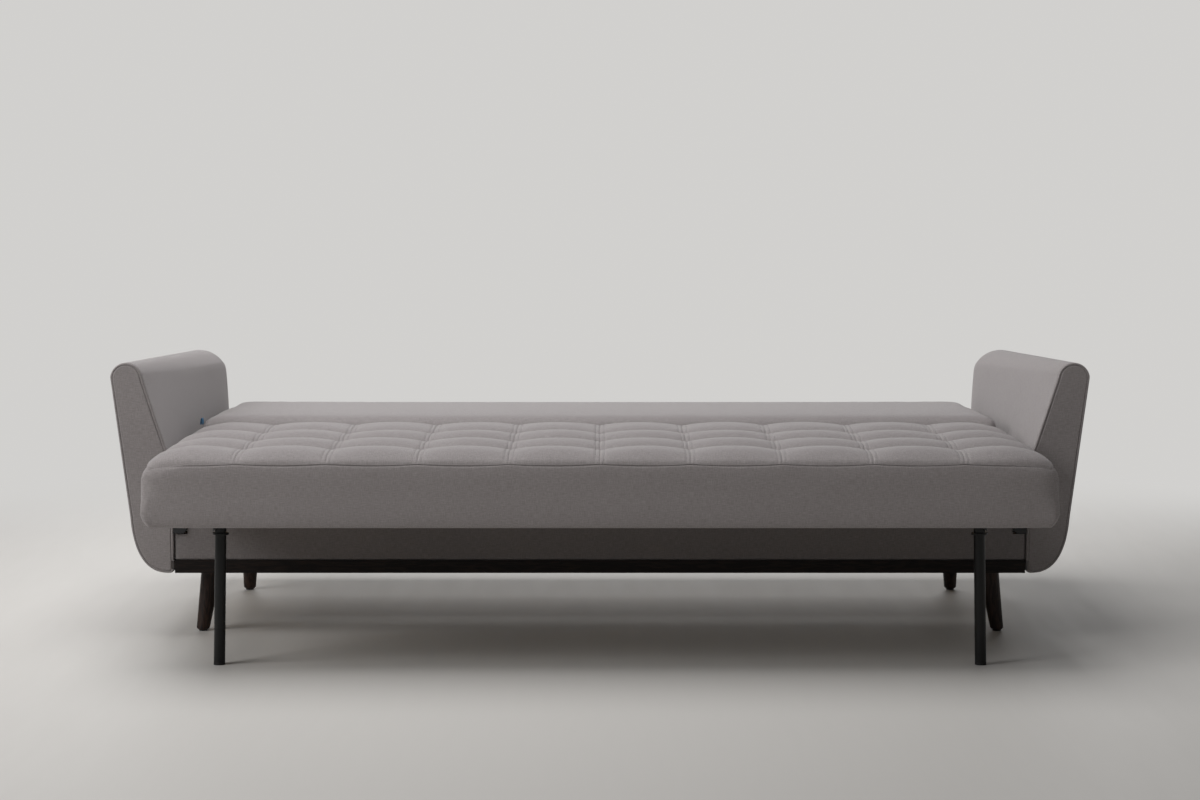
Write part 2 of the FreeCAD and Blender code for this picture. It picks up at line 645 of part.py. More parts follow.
def foot_cap():
    """Rubber plug in the right leg's end, cut flat where it stands on the floor."""
    x = SWIVEL_X
    y = SWIVEL_Y
    sole = rod(V(x, y, -CAP_SOLE), V(0, 0, 1), CAP_SOLE * 2, LEG_RADIUS)
    stem = rod(V(x, y, 0), V(0, 0, 1), CAP_HEIGHT, LEG_RADIUS - LEG_WALL)
    floor = block(x - CUTTER / 2, x + CUTTER / 2, y - CUTTER / 2, y + CUTTER / 2, -CUTTER, 0)
    return splayed(sole.fuse(stem).removeSplitter()).cut(floor)


def leg_bracket():
    """Right-hand plate off the front tube with the fixed half of the swivel."""
    plate = block(SWIVEL_X - BRACKET_WIDTH / 2, SWIVEL_X + BRACKET_WIDTH / 2,
                  SEAT_FRONT_Y + FRAME_INSET + TUBE, SWIVEL_Y + BRACKET_WIDTH / 2,
                  TUBE_TOP_Z - BRACKET_PLATE, TUBE_TOP_Z)
    boss = rod(V(SWIVEL_X, SWIVEL_Y, LEG_COLLAR_Z), V(0, 0, 1),
               TUBE_TOP_Z - LEG_COLLAR_Z, LEG_COLLAR_RADIUS)
    return plate.fuse(boss.cut(below_swivel(-SWIVEL_GAP))).removeSplitter().cut(leg_pin_hole())


# ---- making the nodes -------------------------------------------------------------------------
def make_arms():
    """Pads, panels and inner frames of both arms, and the bolts to the base."""
    holes = arm_bolt_holes() + channel_screw_holes()
    panel = arm_panel()
    frame = arm_frame()
    slot = block(PANEL_X, PANEL_X + PANEL_THICKNESS,
                 ARM_FRONT_Y + PANEL_END_COVER, ARM_REAR_Y - PANEL_END_COVER,
                 ARM_BOTTOM_Z, ARM_BEND_Z - PANEL_TOP_MARGIN)
    pad = arm_body().cut(slot)
    for piece in frame + holes:
        pad = pad.cut(piece)
    for hole in holes:
        panel = panel.cut(hole)
    save_pair("arm_pad", pad)
    save_pair("arm_panel", panel)
    save("right_arm_frame", frame)
    save("left_arm_frame", [mirrored(piece) for piece in frame])
    save("arm_bolts", both(arm_bolts()))


def make_base():
    """Woodwork between the arms and the four wooden legs."""
    legs = {"front": (FRONT_LEG_TOP, FRONT_LEG_FOOT), "rear": (REAR_LEG_TOP, REAR_LEG_FOOT)}
    beam = side_beam()
    for hole in arm_bolt_holes() + [leg_bolt_hole(top) for top, foot in legs.values()]:
        beam = beam.cut(hole)
    save_pair("side_beam", beam)
    save("front_plinth_rail", [plinth_rail()])
    save("fascia_panel", [fascia_panel()])
    save("front_beam", [cross_beam(BEAM_Y)])
    save("rear_beam", [cross_beam(ARM_FRONT_Y + REAR_RAIL_Y - BEAM_THICKNESS)])
    save("rear_rail", [rear_rail()])
    save("cross_braces", cross_braces())
    save("back_bumpers", back_bumpers())
    for name, (top, foot) in legs.items():
        leg = wooden_leg(top, foot)
        save(name + "_right_wooden_leg", [leg])
        save(name + "_left_wooden_leg", [mirrored(leg)])
    save("leg_plates", both([leg_plate(top) for top, foot in legs.values()]))
    save("leg_bolts", both([leg_bolt(top) for top, foot in legs.values()]))
    save("leg_glides", both([leg_glide(foot) for top, foot in legs.values()]))


def make_slide():
    """Channels on the arms and runners under the seat."""
    channel = slide_channel()
    for hole in channel_screw_holes():
        channel = channel.cut(hole)
    save_pair("slide_channel", channel)
    save("channel_stops", both(channel_stops()))
    save("channel_screws", both(channel_screws()))
    save_pair("runner_plate", runner_plate())
    save("runner_glides", both(runner_glides()))


def make_seat():
    """Sliding seat with its frame, slats and hinge halves."""
    front = SEAT_FRONT_Y + FRAME_INSET
    rear = SEAT_REAR_Y - FRAME_INSET
    front_tube, rear_tube, side_tube = frame_tubes(front, rear)
    last_slat = rear - TUBE - HOLDER_WALL * 2 - SLAT_WIDTH
    boards, holders = slats(last_slat - (SEAT_SLATS - 1) * SLAT_PITCH, SEAT_SLATS)
    save("seat_cushion", [seat_cushion()])
    save("seat_front_tube", [front_tube])
    save("seat_rear_tube", [rear_tube])
    save_pair("seat_side_tube", side_tube)
    save("seat_bearers", bearers(front, rear))
    save("seat_slats", boards)
    save("seat_slat_holders", holders)
    save_pair("seat_hinge_plate", hinge_plate(SEAT_HINGE_X, -1, SEAT_STUD_PLACES))
    save("seat_hinge_studs", both(hinge_studs(SEAT_HINGE_X, -1, SEAT_STUD_PLACES)))
    save("hinge_pins", both([hinge_pin()]))


def make_back():
    """Folding back with its frame, slats and hinge halves."""
    front = BACK_FRONT_Y + FRAME_INSET
    rear = BACK_REAR_Y - BACK_REAR_INSET
    front_tube, rear_tube, side_tube = frame_tubes(front, rear)
    run = rear - front - 2 * TUBE
    first_slat = front + TUBE + (run - (BACK_SLATS - 1) * SLAT_PITCH - SLAT_WIDTH) / 2
    boards, holders = slats(first_slat, BACK_SLATS)
    save("back_cushion", [back_cushion()])
    save("back_front_tube", [front_tube])
    save("back_rear_tube", [rear_tube])
    save_pair("back_side_tube", side_tube)
    save("back_bearers", bearers(front, rear))
    save("back_slats", boards)
    save("back_slat_holders", holders)
    save_pair("back_hinge_plate", hinge_plate(BACK_HINGE_X, 1, BACK_STUD_PLACES))
    save("back_hinge_studs", both(hinge_studs(BACK_HINGE_X, 1, BACK_STUD_PLACES)))


def make_steel_legs():
    """Swivelling front legs, their brackets, pins and rubber feet."""
    save_pair("steel_leg", steel_leg())
    save_pair("foot_cap", foot_cap())
    save_pair("leg_bracket", leg_bracket())
    save("leg_pins", both([leg_pin()]))


os.makedirs("parts", exist_ok=True)
make_arms()
make_base()
make_slide()
make_seat()
make_back()
make_steel_legs()
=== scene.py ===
"""Looks of a three-seat futon sofa bed, made round its packed construction model.

Metres, in the model's own frame: +Z up, front towards -Y, floor at Z = 0.
"""

import math

import bpy
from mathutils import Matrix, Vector, noise


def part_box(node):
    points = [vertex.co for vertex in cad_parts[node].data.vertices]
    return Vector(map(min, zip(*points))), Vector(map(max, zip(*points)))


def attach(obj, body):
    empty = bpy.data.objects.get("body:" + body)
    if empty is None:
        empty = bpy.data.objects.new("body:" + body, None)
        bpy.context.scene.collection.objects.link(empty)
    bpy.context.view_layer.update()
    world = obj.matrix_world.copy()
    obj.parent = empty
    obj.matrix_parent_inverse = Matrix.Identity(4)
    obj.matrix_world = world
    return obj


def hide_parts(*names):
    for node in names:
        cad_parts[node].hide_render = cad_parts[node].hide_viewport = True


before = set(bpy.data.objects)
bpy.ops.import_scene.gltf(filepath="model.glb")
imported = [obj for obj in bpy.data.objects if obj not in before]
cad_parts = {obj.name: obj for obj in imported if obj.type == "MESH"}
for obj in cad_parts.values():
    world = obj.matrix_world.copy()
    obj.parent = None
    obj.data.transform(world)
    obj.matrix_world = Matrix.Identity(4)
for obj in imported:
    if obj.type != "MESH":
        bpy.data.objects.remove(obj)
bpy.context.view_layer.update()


# ---- places read from the frame ----------------------------------------------------
SEAT_LOW, SEAT_HIGH = (Vector(corner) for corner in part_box("seat_cushion"))
BACK_LOW, BACK_HIGH = (Vector(corner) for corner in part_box("back_cushion"))
ARM_LOW, ARM_HIGH = (Vector(corner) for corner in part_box("right_arm_pad"))
FASCIA_LOW, FASCIA_HIGH = (Vector(corner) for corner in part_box("fascia_panel"))
CHANNEL_LOW, CHANNEL_HIGH = (Vector(corner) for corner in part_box("right_slide_channel"))
FRAME_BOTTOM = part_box("seat_front_tube")[0][2]
FRAME_TOP = SEAT_LOW.z
FRAME_SIDE = SEAT_HIGH.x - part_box("seat_front_tube")[1][0]

# ---- sizes of the soft pieces ---------------------------------------------------------
COVER_CLEAR = 0.0006           # cover to the steel it wraps
LIP = FRAME_SIDE - COVER_CLEAR

TUFT_COLUMNS = 10
TUFT_ROWS = 4
COLUMN_SEAM_DEPTH = 0.0017
COLUMN_SEAM_WIDTH = 0.0014
TOPSTITCH_OFFSET = 0.0095      # stitch rows beside a column seam
TOPSTITCH_DEPTH = 0.0013
TOPSTITCH_WIDTH = 0.0015
ROW_SEAM_Z = 0.4610
ROW_SEAM_DEPTH = 0.0035
ROW_SEAM_WIDTH = 0.0032
BOXING_Z = 0.4565
BOXING_WAVE = 0.0036           # rise of the boxing seam at a column seam
BOXING_TUCK = 0.0034
ROW_CROWN = 0.0270
ROW_FULLNESS = 2.8             # power of a row's crown: higher is flatter on top
REAR_FULLNESS = 7
REAR_ROW_SHARE = 0.94          # crown of the row nearest the back, against the others
COLUMN_DIP = 0.0100
COLUMN_FULLNESS = 2.1
END_BULGE = 0.0100
END_CROWN_LOSS = 0.45
END_DROP = 0.006
FRONT_BULGE = 0.0035
FRONT_WAVE = 0.0010
TOP_WAVE = 0.0014
DIMPLE = 0.0035
DIMPLE_RADIUS = 0.022
PUCKER = 0.0008
PUCKER_PITCH = 0.017
PUCKER_REACH = 0.030
FRAME_WRAP_LEVELS = (0.0, 0.003, 0.008, 0.016, 0.028)      # over the frame's underside
SEAT_SIDE_LEVELS = (0.370, 0.390, 0.410, 0.426, 0.438, 0.446, 0.4515, 0.4545, BOXING_Z, 0.4585,
                    ROW_SEAM_Z)

STITCH_PITCH = 0.0046
STITCH_LENGTH = 0.0034
STITCH_RADIUS = 0.00042

BACK_CROWN = 0.0120            # rise of the back's top towards the seat
BACK_SHRINK = 0.006            # room for the cloth to swell
SKIRT_REAR = 0.0025            # cloth past the pad behind the frame's rear tube
SKIRT_RISE = 0.007             # into the pad's lower edge
SKIRT_CORNER = 0.018
SKIRT_THICKNESS = 0.0030
SKIRT_ROUND = 0.0014
SKIRT_LEVELS = (0.328, 0.336, 0.344)

ARM_BOTTOM_SOLE = 0.009
ARM_BEND_Z = 0.400
ARM_TOP_THICKNESS = 0.074
ARM_REAR_SHIFT = 0.008
ARM_REAR_INSET = 0.007
ARM_REAR_DROP = 0.032
ARM_SHOULDER_DROP = 0.034
ARM_BELLY_INSET = 0.041
ARM_BELLY_Z = 0.285
ARM_REAR_ROUND = 0.048
ARM_WAVE = 0.0012
ARM_FRONT_RINGS = ((0.0, 0.0082), (0.0006, 0.0066), (0.0030, 0.0054), (0.0044, 0.0026),
                   (0.0060, 0.0010), (0.0090, 0.0))       # depth and inset
PIPING_RADIUS = 0.0028
PIPING_DEPTH = 0.0030
PIPING_INSET = 0.0031

TAB_WIDTH = 0.014
TAB_HEIGHT = 0.015
TAB_THICKNESS = 0.0012
TAB_HALF_GAP = 0.0026          # half the space between the folded tape's legs
TAB_PLACE = (-0.0035, 0.115, -0.010)       # from the back's left front top corner


# ---- small helpers -----------------------------------------------------------------------
def smooth(a, b, value):
    """0 before a, 1 after b, with a soft change between."""
    share = min(max((value - a) / (b - a), 0.0), 1.0)
    return share * share * (3 - 2 * share)


def clear_selection():
    """Leave object mode with nothing selected."""
    if bpy.context.object and bpy.context.object.mode != "OBJECT":
        bpy.ops.object.mode_set(mode="OBJECT")
    bpy.ops.object.select_all(action="DESELECT")


def take(piece):
    """Make one piece the only selected and active one."""
    clear_selection()
    piece.select_set(True)
    bpy.context.view_layer.objects.active = piece


def apply_modifier(piece, kind, **settings):
    """Add one modifier, set it and apply it."""
    take(piece)
    modifier = piece.modifiers.new(kind.lower(), kind)
    for name, value in settings.items():
        setattr(modifier, name, value)
    bpy.ops.object.modifier_apply(modifier=modifier.name)


def settle(piece):
    """Put a piece's place into its mesh, so that its object is at the origin."""
    take(piece)
    bpy.ops.object.transform_apply(location=True, rotation=True, scale=True)


def outward(piece):
    """Merge doubles and point every face out."""
    take(piece)
    bpy.ops.object.mode_set(mode="EDIT")
    bpy.ops.mesh.select_all(action="SELECT")
    bpy.ops.mesh.remove_doubles(threshold=0.00002)
    bpy.ops.mesh.normals_make_consistent(inside=False)
    bpy.ops.object.mode_set(mode="OBJECT")
    bpy.ops.object.shade_smooth()


def mirrored(piece, name):
    """Left-hand copy of a right-hand piece, with its own mesh."""
    twin = piece.copy()
    twin.data = piece.data.copy()
    twin.name = name
    bpy.context.collection.objects.link(twin)
    for vertex in twin.data.vertices:
        vertex.co.x = -vertex.co.x
    twin.data.flip_normals()
    return twin


def joined(pieces, name):
    """One piece out of several."""
    take(pieces[0])
    for piece in pieces[1:]:
        piece.select_set(True)
    bpy.ops.object.join()
    piece = bpy.context.object
    piece.name = name
    return piece


def cloth_map(piece):
    """UV map in metres that lays the weave flat on each side of a piece."""
    mesh = piece.data
    while mesh.uv_layers:
        mesh.uv_layers.remove(mesh.uv_layers[0])
    layer = mesh.uv_layers.new(name="cloth")
    for face in mesh.polygons:
        facing = [abs(value) for value in face.normal]
        axes = ((1, 2), (0, 2), (0, 1))[facing.index(max(facing))]
        for loop in face.loop_indices:
            place = mesh.vertices[mesh.loops[loop].vertex_index].co
            layer.data[loop].uv = (place[axes[0]], place[axes[1]])


# ---- shader maths ---------------------------------------------------------------------------
class Value:
    """A shader socket that Python's operators work on."""

    def __init__(self, finish, socket):
        self.finish = finish
        self.socket = socket

    def math(self, operation, first, second=0.0):
        return self.finish.node("ShaderNodeMath", {"operation": operation}, {0: first, 1: second})

    def __add__(self, other):
        return self.math("ADD", self, other)

    def __sub__(self, other):
        return self.math("SUBTRACT", self, other)

    def __mul__(self, other):
        return self.math("MULTIPLY", self, other)

    def __pow__(self, other):
        return self.math("POWER", self, other)

    def __radd__(self, other):
        return self.math("ADD", other, self)

    def __rsub__(self, other):
        return self.math("SUBTRACT", other, self)

    def __rmul__(self, other):
        return self.math("MULTIPLY", other, self)

    def wave(self):
        return self.math("SINE", self)

    def size(self):
        return self.math("ABSOLUTE", self)

    def over(self, limit):
        return self.math("GREATER_THAN", self, limit)


class Finish:
    """One node material, with a Principled shader on its output."""

    def __init__(self, name, **constants):
        self.material = bpy.data.materials.new(name)
        self.material.use_nodes = True
        self.tree = self.material.node_tree
        self.tree.nodes.clear()
        self.output = self.tree.nodes.new("ShaderNodeOutputMaterial")
        self.shader = self.tree.nodes.new("ShaderNodeBsdfPrincipled")
        self.tree.links.new(self.shader.outputs[0], self.output.inputs["Surface"])
        for socket, value in constants.items():
            self.shader.inputs[socket.replace("_", " ")].default_value = value

    def node(self, kind, settings, values, out=0):
        """Any node: its settings first, then the values or links of its sockets."""
        made = self.tree.nodes.new(kind)
        for name, value in settings.items():
            if name == "stops":
                self.set_stops(made, value)
            else:
                setattr(made, name, value)
        for socket, value in values.items():
            if isinstance(value, Value):
                self.tree.links.new(value.socket, made.inputs[socket])
            else:
                made.inputs[socket].default_value = value
        return Value(self, made.outputs[out])

    @staticmethod
    def set_stops(ramp, stops):
        """Colour stops of a ramp, as (place, colour) pairs."""
        elements = ramp.color_ramp.elements
        while len(elements) < len(stops):
            elements.new(1.0)
        for element, (place, colour) in zip(elements, stops):
            element.position = place
            element.color = (*colour, 1.0)

    def place(self, source="Object"):
        return self.node("ShaderNodeTexCoord", {}, {}, source)

    def stretched(self, place, scale):
        """Coordinates scaled by a different amount along each axis."""
        return self.node("ShaderNodeMapping", {}, {"Vector": place, "Scale": scale})

    def axis(self, place, name):
        return self.node("ShaderNodeSeparateXYZ", {}, {0: place}, name)

    def noise(self, place, scale, detail=2.0, roughness=0.5):
        return self.node("ShaderNodeTexNoise", {},
                         {"Vector": place, "Scale": scale, "Detail": detail, "Roughness": roughness})

    def mix(self, share, first, second):
        """Blend of two colours."""
        pair = {0: share, 6: self.colour(first), 7: self.colour(second)}
        return self.node("ShaderNodeMix", {"data_type": "RGBA"}, pair, 2)

    def ramp(self, share, *stops):
        return self.node("ShaderNodeValToRGB", {"stops": stops}, {0: share})

    def bump(self, height, distance, strength=1.0, under=None):
        values = {"Height": height, "Distance": distance, "Strength": strength}
        if under is not None:
            values["Normal"] = under
        return self.node("ShaderNodeBump", {}, values)

    @staticmethod
    def colour(value):
        return value if isinstance(value, Value) else (*value, 1.0)

    def drive(self, **links):
        """Link what varies over the surface to the shader."""
        for socket, value in links.items():
            self.tree.links.new(value.socket, self.shader.inputs[socket.replace("_", " ")])
        return self.material


# ---- finishes ----------------------------------------------------------------------------------
THREAD_PITCH = 0.0011
LINING_PITCH = 0.0016
TAPE_PITCH = 0.0009


def upholstery(name, depth):
    """Mid-grey plain weave with slubs and a soft bloom; depth scales how light it is, and a depth below 1
    gives a darker copy of the same cloth that paints shade.
    """
    finish = Finish(name, Sheen_Weight=0.30, Sheen_Roughness=0.50,
                    Sheen_Tint=(0.80, 0.78, 0.80, 1.0), Specular_IOR_Level=0.18)
    flat = finish.place("UV")
    turn = math.pi / THREAD_PITCH
    across = (finish.axis(flat, "X") * turn).wave()
    along = (finish.axis(flat, "Y") * turn).wave()
    over = (across * along).over(0.0)
    weave = over * across.size() + (1.0 - over) * along.size()
    weft_slub = finish.noise(finish.stretched(flat, (70.0, 620.0, 1.0)), 1.0, 3.0, 0.6)
    warp_slub = finish.noise(finish.stretched(flat, (620.0, 70.0, 1.0)), 1.0, 3.0, 0.6)
    fibre = finish.noise(flat, 1500.0, 2.0, 0.7)
    cloud = finish.noise(finish.place(), 5.0, 3.0, 0.5)
    tone = 0.36 * weft_slub + 0.30 * warp_slub + 0.20 * fibre + 0.14 * weave
    tones = ((0.188, 0.169, 0.168), (0.276, 0.252, 0.249), (0.370, 0.342, 0.337), (0.243, 0.219, 0.220))
    # depth darkens all four tones together; below 1 this is painted shade, not a darker cloth
    dark, mid, light, worn = (tuple(depth * value for value in colour) for colour in tones)
    base = finish.ramp(tone, (0.36, dark), (0.50, mid), (0.66, light))
    colour = finish.mix(0.24 * cloud, base, worn)
    height = 0.6 * weave + 0.4 * weft_slub + 0.4 * warp_slub
    drape = finish.bump(finish.noise(finish.place(), 16.0, 2.0, 0.4), 0.0012)
    return finish.drive(Base_Color=colour, Roughness=0.80 + 0.14 * fibre,
                        Normal=finish.bump(height, 0.00035, 0.8, drape))


def thread():
    """Sewing thread, a little lighter than the cloth."""
    finish = Finish("thread", Roughness=0.55)
    twist = finish.noise(finish.stretched(finish.place(), (900.0, 260.0, 900.0)), 1.0)
    return finish.drive(Base_Color=finish.mix(twist, (0.12, 0.11, 0.11), (0.22, 0.20, 0.20)),
                        Normal=finish.bump(twist, 0.0002))


def lining():
    """Thin black cloth under the foam."""
    finish = Finish("lining", Specular_IOR_Level=0.15)
    turn = math.pi / LINING_PITCH
    flat = finish.place("UV")
    across = (finish.axis(flat, "X") * turn).wave().size()
    along = (finish.axis(flat, "Y") * turn).wave().size()
    grid = across * along
    return finish.drive(Base_Color=finish.mix(grid, (0.012, 0.012, 0.013), (0.030, 0.030, 0.032)),
                        Roughness=0.85 + 0.1 * grid, Normal=finish.bump(grid, 0.0002))


def wood(name, dark, mid, light, along, gloss, pores=0.5, shine=0.42):
    """Wood whose grain runs along one axis; along scales the figure on X, Y and Z."""
    finish = Finish(name, Specular_IOR_Level=shine)
    place = finish.place()
    sweep = finish.noise(finish.stretched(place, along), 1.0, 4.0, 0.55)
    fine = tuple(4.2 * value for value in along)
    finest = tuple(13.0 * value for value in along)
    figure = finish.noise(finish.stretched(place, fine), 1.0, 5.0, 0.62)
    rings = (sweep * 46.0).wave() * 0.5 + 0.5
    pore = finish.noise(finish.stretched(place, finest), 1.0, 2.0, 0.8)
    tone = 0.42 * rings + 0.58 * figure
    base = finish.ramp(tone, (0.25, dark), (0.52, mid), (0.78, light))
    cut = pore ** 2.0
    colour = finish.mix(pores * cut, base, tuple(0.45 * value for value in dark))
    return finish.drive(Base_Color=colour, Roughness=gloss + 0.16 * figure,
                        Normal=finish.bump(0.5 * figure - 0.8 * cut, 0.0004, 0.7))


def powder_coat():
    """Satin black powder coat with fine orange peel and rubbed spots."""
    finish = Finish("black_powder_coat", Specular_IOR_Level=0.30)
    place = finish.place()
    peel = finish.noise(place, 900.0, 2.0, 0.5)
    rub = finish.noise(place, 26.0, 4.0, 0.6)
    return finish.drive(Base_Color=finish.mix(rub, (0.004, 0.004, 0.004), (0.010, 0.010, 0.010)),
                        Roughness=0.34 + 0.16 * rub, Normal=finish.bump(peel, 0.00025, 0.5))


def zinc():
    """Bright zinc plate with faint spangle."""
    finish = Finish("zinc_plate", Metallic=1.0)
    spangle = finish.noise(finish.place(), 240.0, 3.0, 0.6)
    return finish.drive(Base_Color=finish.mix(spangle, (0.46, 0.47, 0.50), (0.68, 0.68, 0.70)),
                        Roughness=0.26 + 0.2 * spangle, Normal=finish.bump(spangle, 0.0001, 0.4))


def moulded(name, low, high, rough):
    """Moulded plastic or rubber with a fine spark-eroded grain."""
    finish = Finish(name, Specular_IOR_Level=0.4)
    grain = finish.noise(finish.place(), 1400.0, 2.0, 0.6)
    cloud = finish.noise(finish.place(), 40.0, 3.0, 0.5)
    return finish.drive(Base_Color=finish.mix(0.6 * grain + 0.4 * cloud, low, high),
                        Roughness=rough + 0.12 * grain, Normal=finish.bump(grain, 0.0002, 0.5))


def webbing():
    """Plain blue woven tape for the lift tab."""
    finish = Finish("blue_tape", Specular_IOR_Level=0.2)
    rib = (finish.axis(finish.place("UV"), "Y") * (math.pi / TAPE_PITCH)).wave().size()
    return finish.drive(Base_Color=finish.mix(rib, (0.030, 0.120, 0.250), (0.070, 0.230, 0.420)),
                        Roughness=0.7 + 0.1 * rib, Normal=finish.bump(rib, 0.0003))


CLOTH = upholstery("upholstery", 1.0)
# Fascia cloth: the same upholstery darkened to 0.72 as painted shade, for the shade under the seat's
# overhang.
FASCIA_CLOTH_PAINTED_SHADE = upholstery("fascia_cloth_painted_shade", 0.72)
THREAD = thread()
LINING = lining()
PINE_TONES = ((0.42, 0.27, 0.13), (0.60, 0.43, 0.24), (0.72, 0.56, 0.36))
WALNUT = wood("dark_walnut", (0.010, 0.004, 0.0025), (0.024, 0.011, 0.007), (0.046, 0.023, 0.015),
              (42.0, 42.0, 5.0), 0.38, 0.5, 0.32)
# Rail walnut: a much darker copy of the leg walnut, its extra darkness painted shade under the seat; its
# grain runs along X.
RAIL_WOOD_PAINTED_SHADE = wood("dark_walnut_rail_painted_shade", (0.004, 0.002, 0.0015), (0.009, 0.005, 0.004),
                 (0.018, 0.010, 0.007), (5.0, 42.0, 42.0), 0.46, 0.5, 0.22)
PINE = wood("planed_pine", *PINE_TONES, (30.0, 3.0, 30.0), 0.58, 0.15)
PINE_ACROSS = wood("planed_pine_across", *PINE_TONES, (3.0, 30.0, 30.0), 0.58, 0.15)
BIRCH = wood("birch_slat", (0.52, 0.36, 0.19), (0.68, 0.52, 0.32), (0.78, 0.64, 0.45),
             (4.0, 46.0, 46.0), 0.42, 0.12)
STEEL = powder_coat()
ZINC = zinc()
BLACK_PLASTIC = moulded("black_plastic", (0.012, 0.012, 0.013), (0.026, 0.026, 0.028), 0.42)
NYLON = moulded("natural_nylon", (0.60, 0.59, 0.55), (0.74, 0.73, 0.69), 0.36)
RUBBER = moulded("black_rubber", (0.010, 0.010, 0.010), (0.020, 0.020, 0.020), 0.66)
TAPE = webbing()


def pair(name):
    """The left and right nodes of one kind."""
    return ["left_" + name, "right_" + name]


NODE_FINISHES = (
    (WALNUT, ["front_left_wooden_leg", "front_right_wooden_leg",
              "rear_left_wooden_leg", "rear_right_wooden_leg"]),
    # the rails take the walnut darkened as painted shade
    (RAIL_WOOD_PAINTED_SHADE, ["front_plinth_rail", "rear_rail"]),
    (PINE, pair("arm_panel") + pair("arm_frame") + pair("side_beam")),
    (PINE_ACROSS, ["front_beam", "rear_beam", "cross_braces"]),
    (BIRCH, ["seat_slats", "back_slats"]),
    (STEEL, ["seat_front_tube", "seat_rear_tube", "seat_bearers", "back_front_tube", "back_rear_tube",
             "back_bearers"] + pair("seat_side_tube") + pair("back_side_tube") + pair("runner_plate")
     + pair("seat_hinge_plate") + pair("back_hinge_plate") + pair("steel_leg") + pair("leg_bracket")
     + pair("slide_channel")),
    (ZINC, ["arm_bolts", "leg_plates", "leg_bolts", "channel_screws", "seat_hinge_studs",
            "back_hinge_studs", "hinge_pins", "leg_pins"]),
    (BLACK_PLASTIC, ["seat_slat_holders", "back_slat_holders", "channel_stops", "leg_glides"]),
    (NYLON, ["runner_glides"]),
    (RUBBER, ["back_bumpers"] + pair("foot_cap")),
)


def paint(piece, *materials):
    """Give a piece these materials and no others."""
    piece.data.materials.clear()
    for material in materials:
        piece.data.materials.append(material)


def paint_frame():
    """Better materials on the construction pieces that stay in view."""
    for material, names in NODE_FINISHES:
        for name in names:
            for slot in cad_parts[name].material_slots:
                slot.material = material


# ---- gridded blocks ------------------------------------------------------------------------------
def wrap_grid(name, across, along, place):
    """Grid with one vertex per pair of indices, put where place(i, j) says."""
    clear_selection()
    bpy.ops.mesh.primitive_grid_add(x_subdivisions=across, y_subdivisions=along, size=2.0)
    piece = bpy.context.object
    piece.name = name
    for vertex in piece.data.vertices:
        i = round((vertex.co.x + 1) / 2 * across)
        j = round((vertex.co.y + 1) / 2 * along)
        vertex.co = place(i, j)
    return piece


def gridded_block(name, columns, rows, levels):
    """Closed block: a gridded top and bottom, and rings of faces between the levels."""
    piece = wrap_grid(name, len(columns) - 1, len(rows) - 1,
                      lambda i, j: (columns[i], rows[j], levels[0]))
    take(piece)
    bpy.ops.object.mode_set(mode="EDIT")
    bpy.ops.mesh.select_all(action="SELECT")
    for below, above in zip(levels, levels[1:]):
        bpy.ops.mesh.extrude_region_move(TRANSFORM_OT_translate={"value": (0, 0, above - below)})
    bpy.ops.object.mode_set(mode="OBJECT")
    return piece


def spaced(low, high, edge_steps, pitch):
    """Places from low to high: given steps in from both ends, even ones between."""
    start = [low + step for step in edge_steps]
    end = [high - step for step in reversed(edge_steps)]
    count = max(1, round((end[0] - start[-1]) / pitch))
    middle = [start[-1] + (end[0] - start[-1]) * k / count for k in range(1, count)]
    return start + middle + end


def rounded(place, low, high, low_radius, high_radius):
    """Move a point of a box onto the same box with rounded edges."""
    core = Vector(place)
    offset = Vector((0.0, 0.0, 0.0))
    for axis in range(3):
        if place[axis] > high[axis] - high_radius[axis]:
            core[axis] = high[axis] - high_radius[axis]
            offset[axis] = (place[axis] - core[axis]) / high_radius[axis]
        elif place[axis] < low[axis] + low_radius[axis]:
            core[axis] = low[axis] + low_radius[axis]
            offset[axis] = (place[axis] - core[axis]) / low_radius[axis]
    reach = max(abs(value) for value in offset)
    if reach == 0:
        return Vector(place)
    scale = reach / offset.length
    for axis in range(3):
        radius = high_radius[axis] if offset[axis] > 0 else low_radius[axis]
        core[axis] += offset[axis] * scale * radius
    return core


# ---- seat cover --------------------------------------------------------------------------------
TUFT_WIDTH = (SEAT_HIGH.x - SEAT_LOW.x) / TUFT_COLUMNS
TUFT_DEPTH = (SEAT_HIGH.y - SEAT_LOW.y) / TUFT_ROWS
COLUMN_SEAMS = [SEAT_LOW.x + TUFT_WIDTH * k for k in range(1, TUFT_COLUMNS)]
ROW_SEAMS = [SEAT_LOW.y + TUFT_DEPTH * k for k in range(1, TUFT_ROWS)]
COLUMN_STEPS = (0.0, 0.0012, 0.0026, 0.0050, 0.0078, 0.0095, 0.0112, 0.0140, 0.019, 0.027, 0.037,
                0.049, 0.062, 0.080, 0.0975)
ROW_STEPS = (0.0, 0.0012, 0.0026, 0.005, 0.009, 0.014, 0.021, 0.030, 0.041, 0.054, 0.069, 0.0857)


def cell_grid(low, count, width, steps):
    """Grid lines of all cells along one axis, close together at the seams."""
    lines = []
    for index in range(count):
        start = low + index * width
        first = [start + step / steps[-1] * width / 2 for step in steps[:-1]]
        second = [start + width - step / steps[-1] * width / 2 for step in reversed(steps[1:])]
        lines += first + second
    return lines + [low + count * width]


def seam_distance(value, seams):
    """Distance to the nearest seam."""
    return min(abs(value - seam) for seam in seams)


def off_middle(value, low, width, count):
    """0 in the middle of a cell, 1 at its seams."""
    cell = (value - low) / width
    return abs(2 * (cell - math.floor(min(cell, count - 0.0001))) - 1)


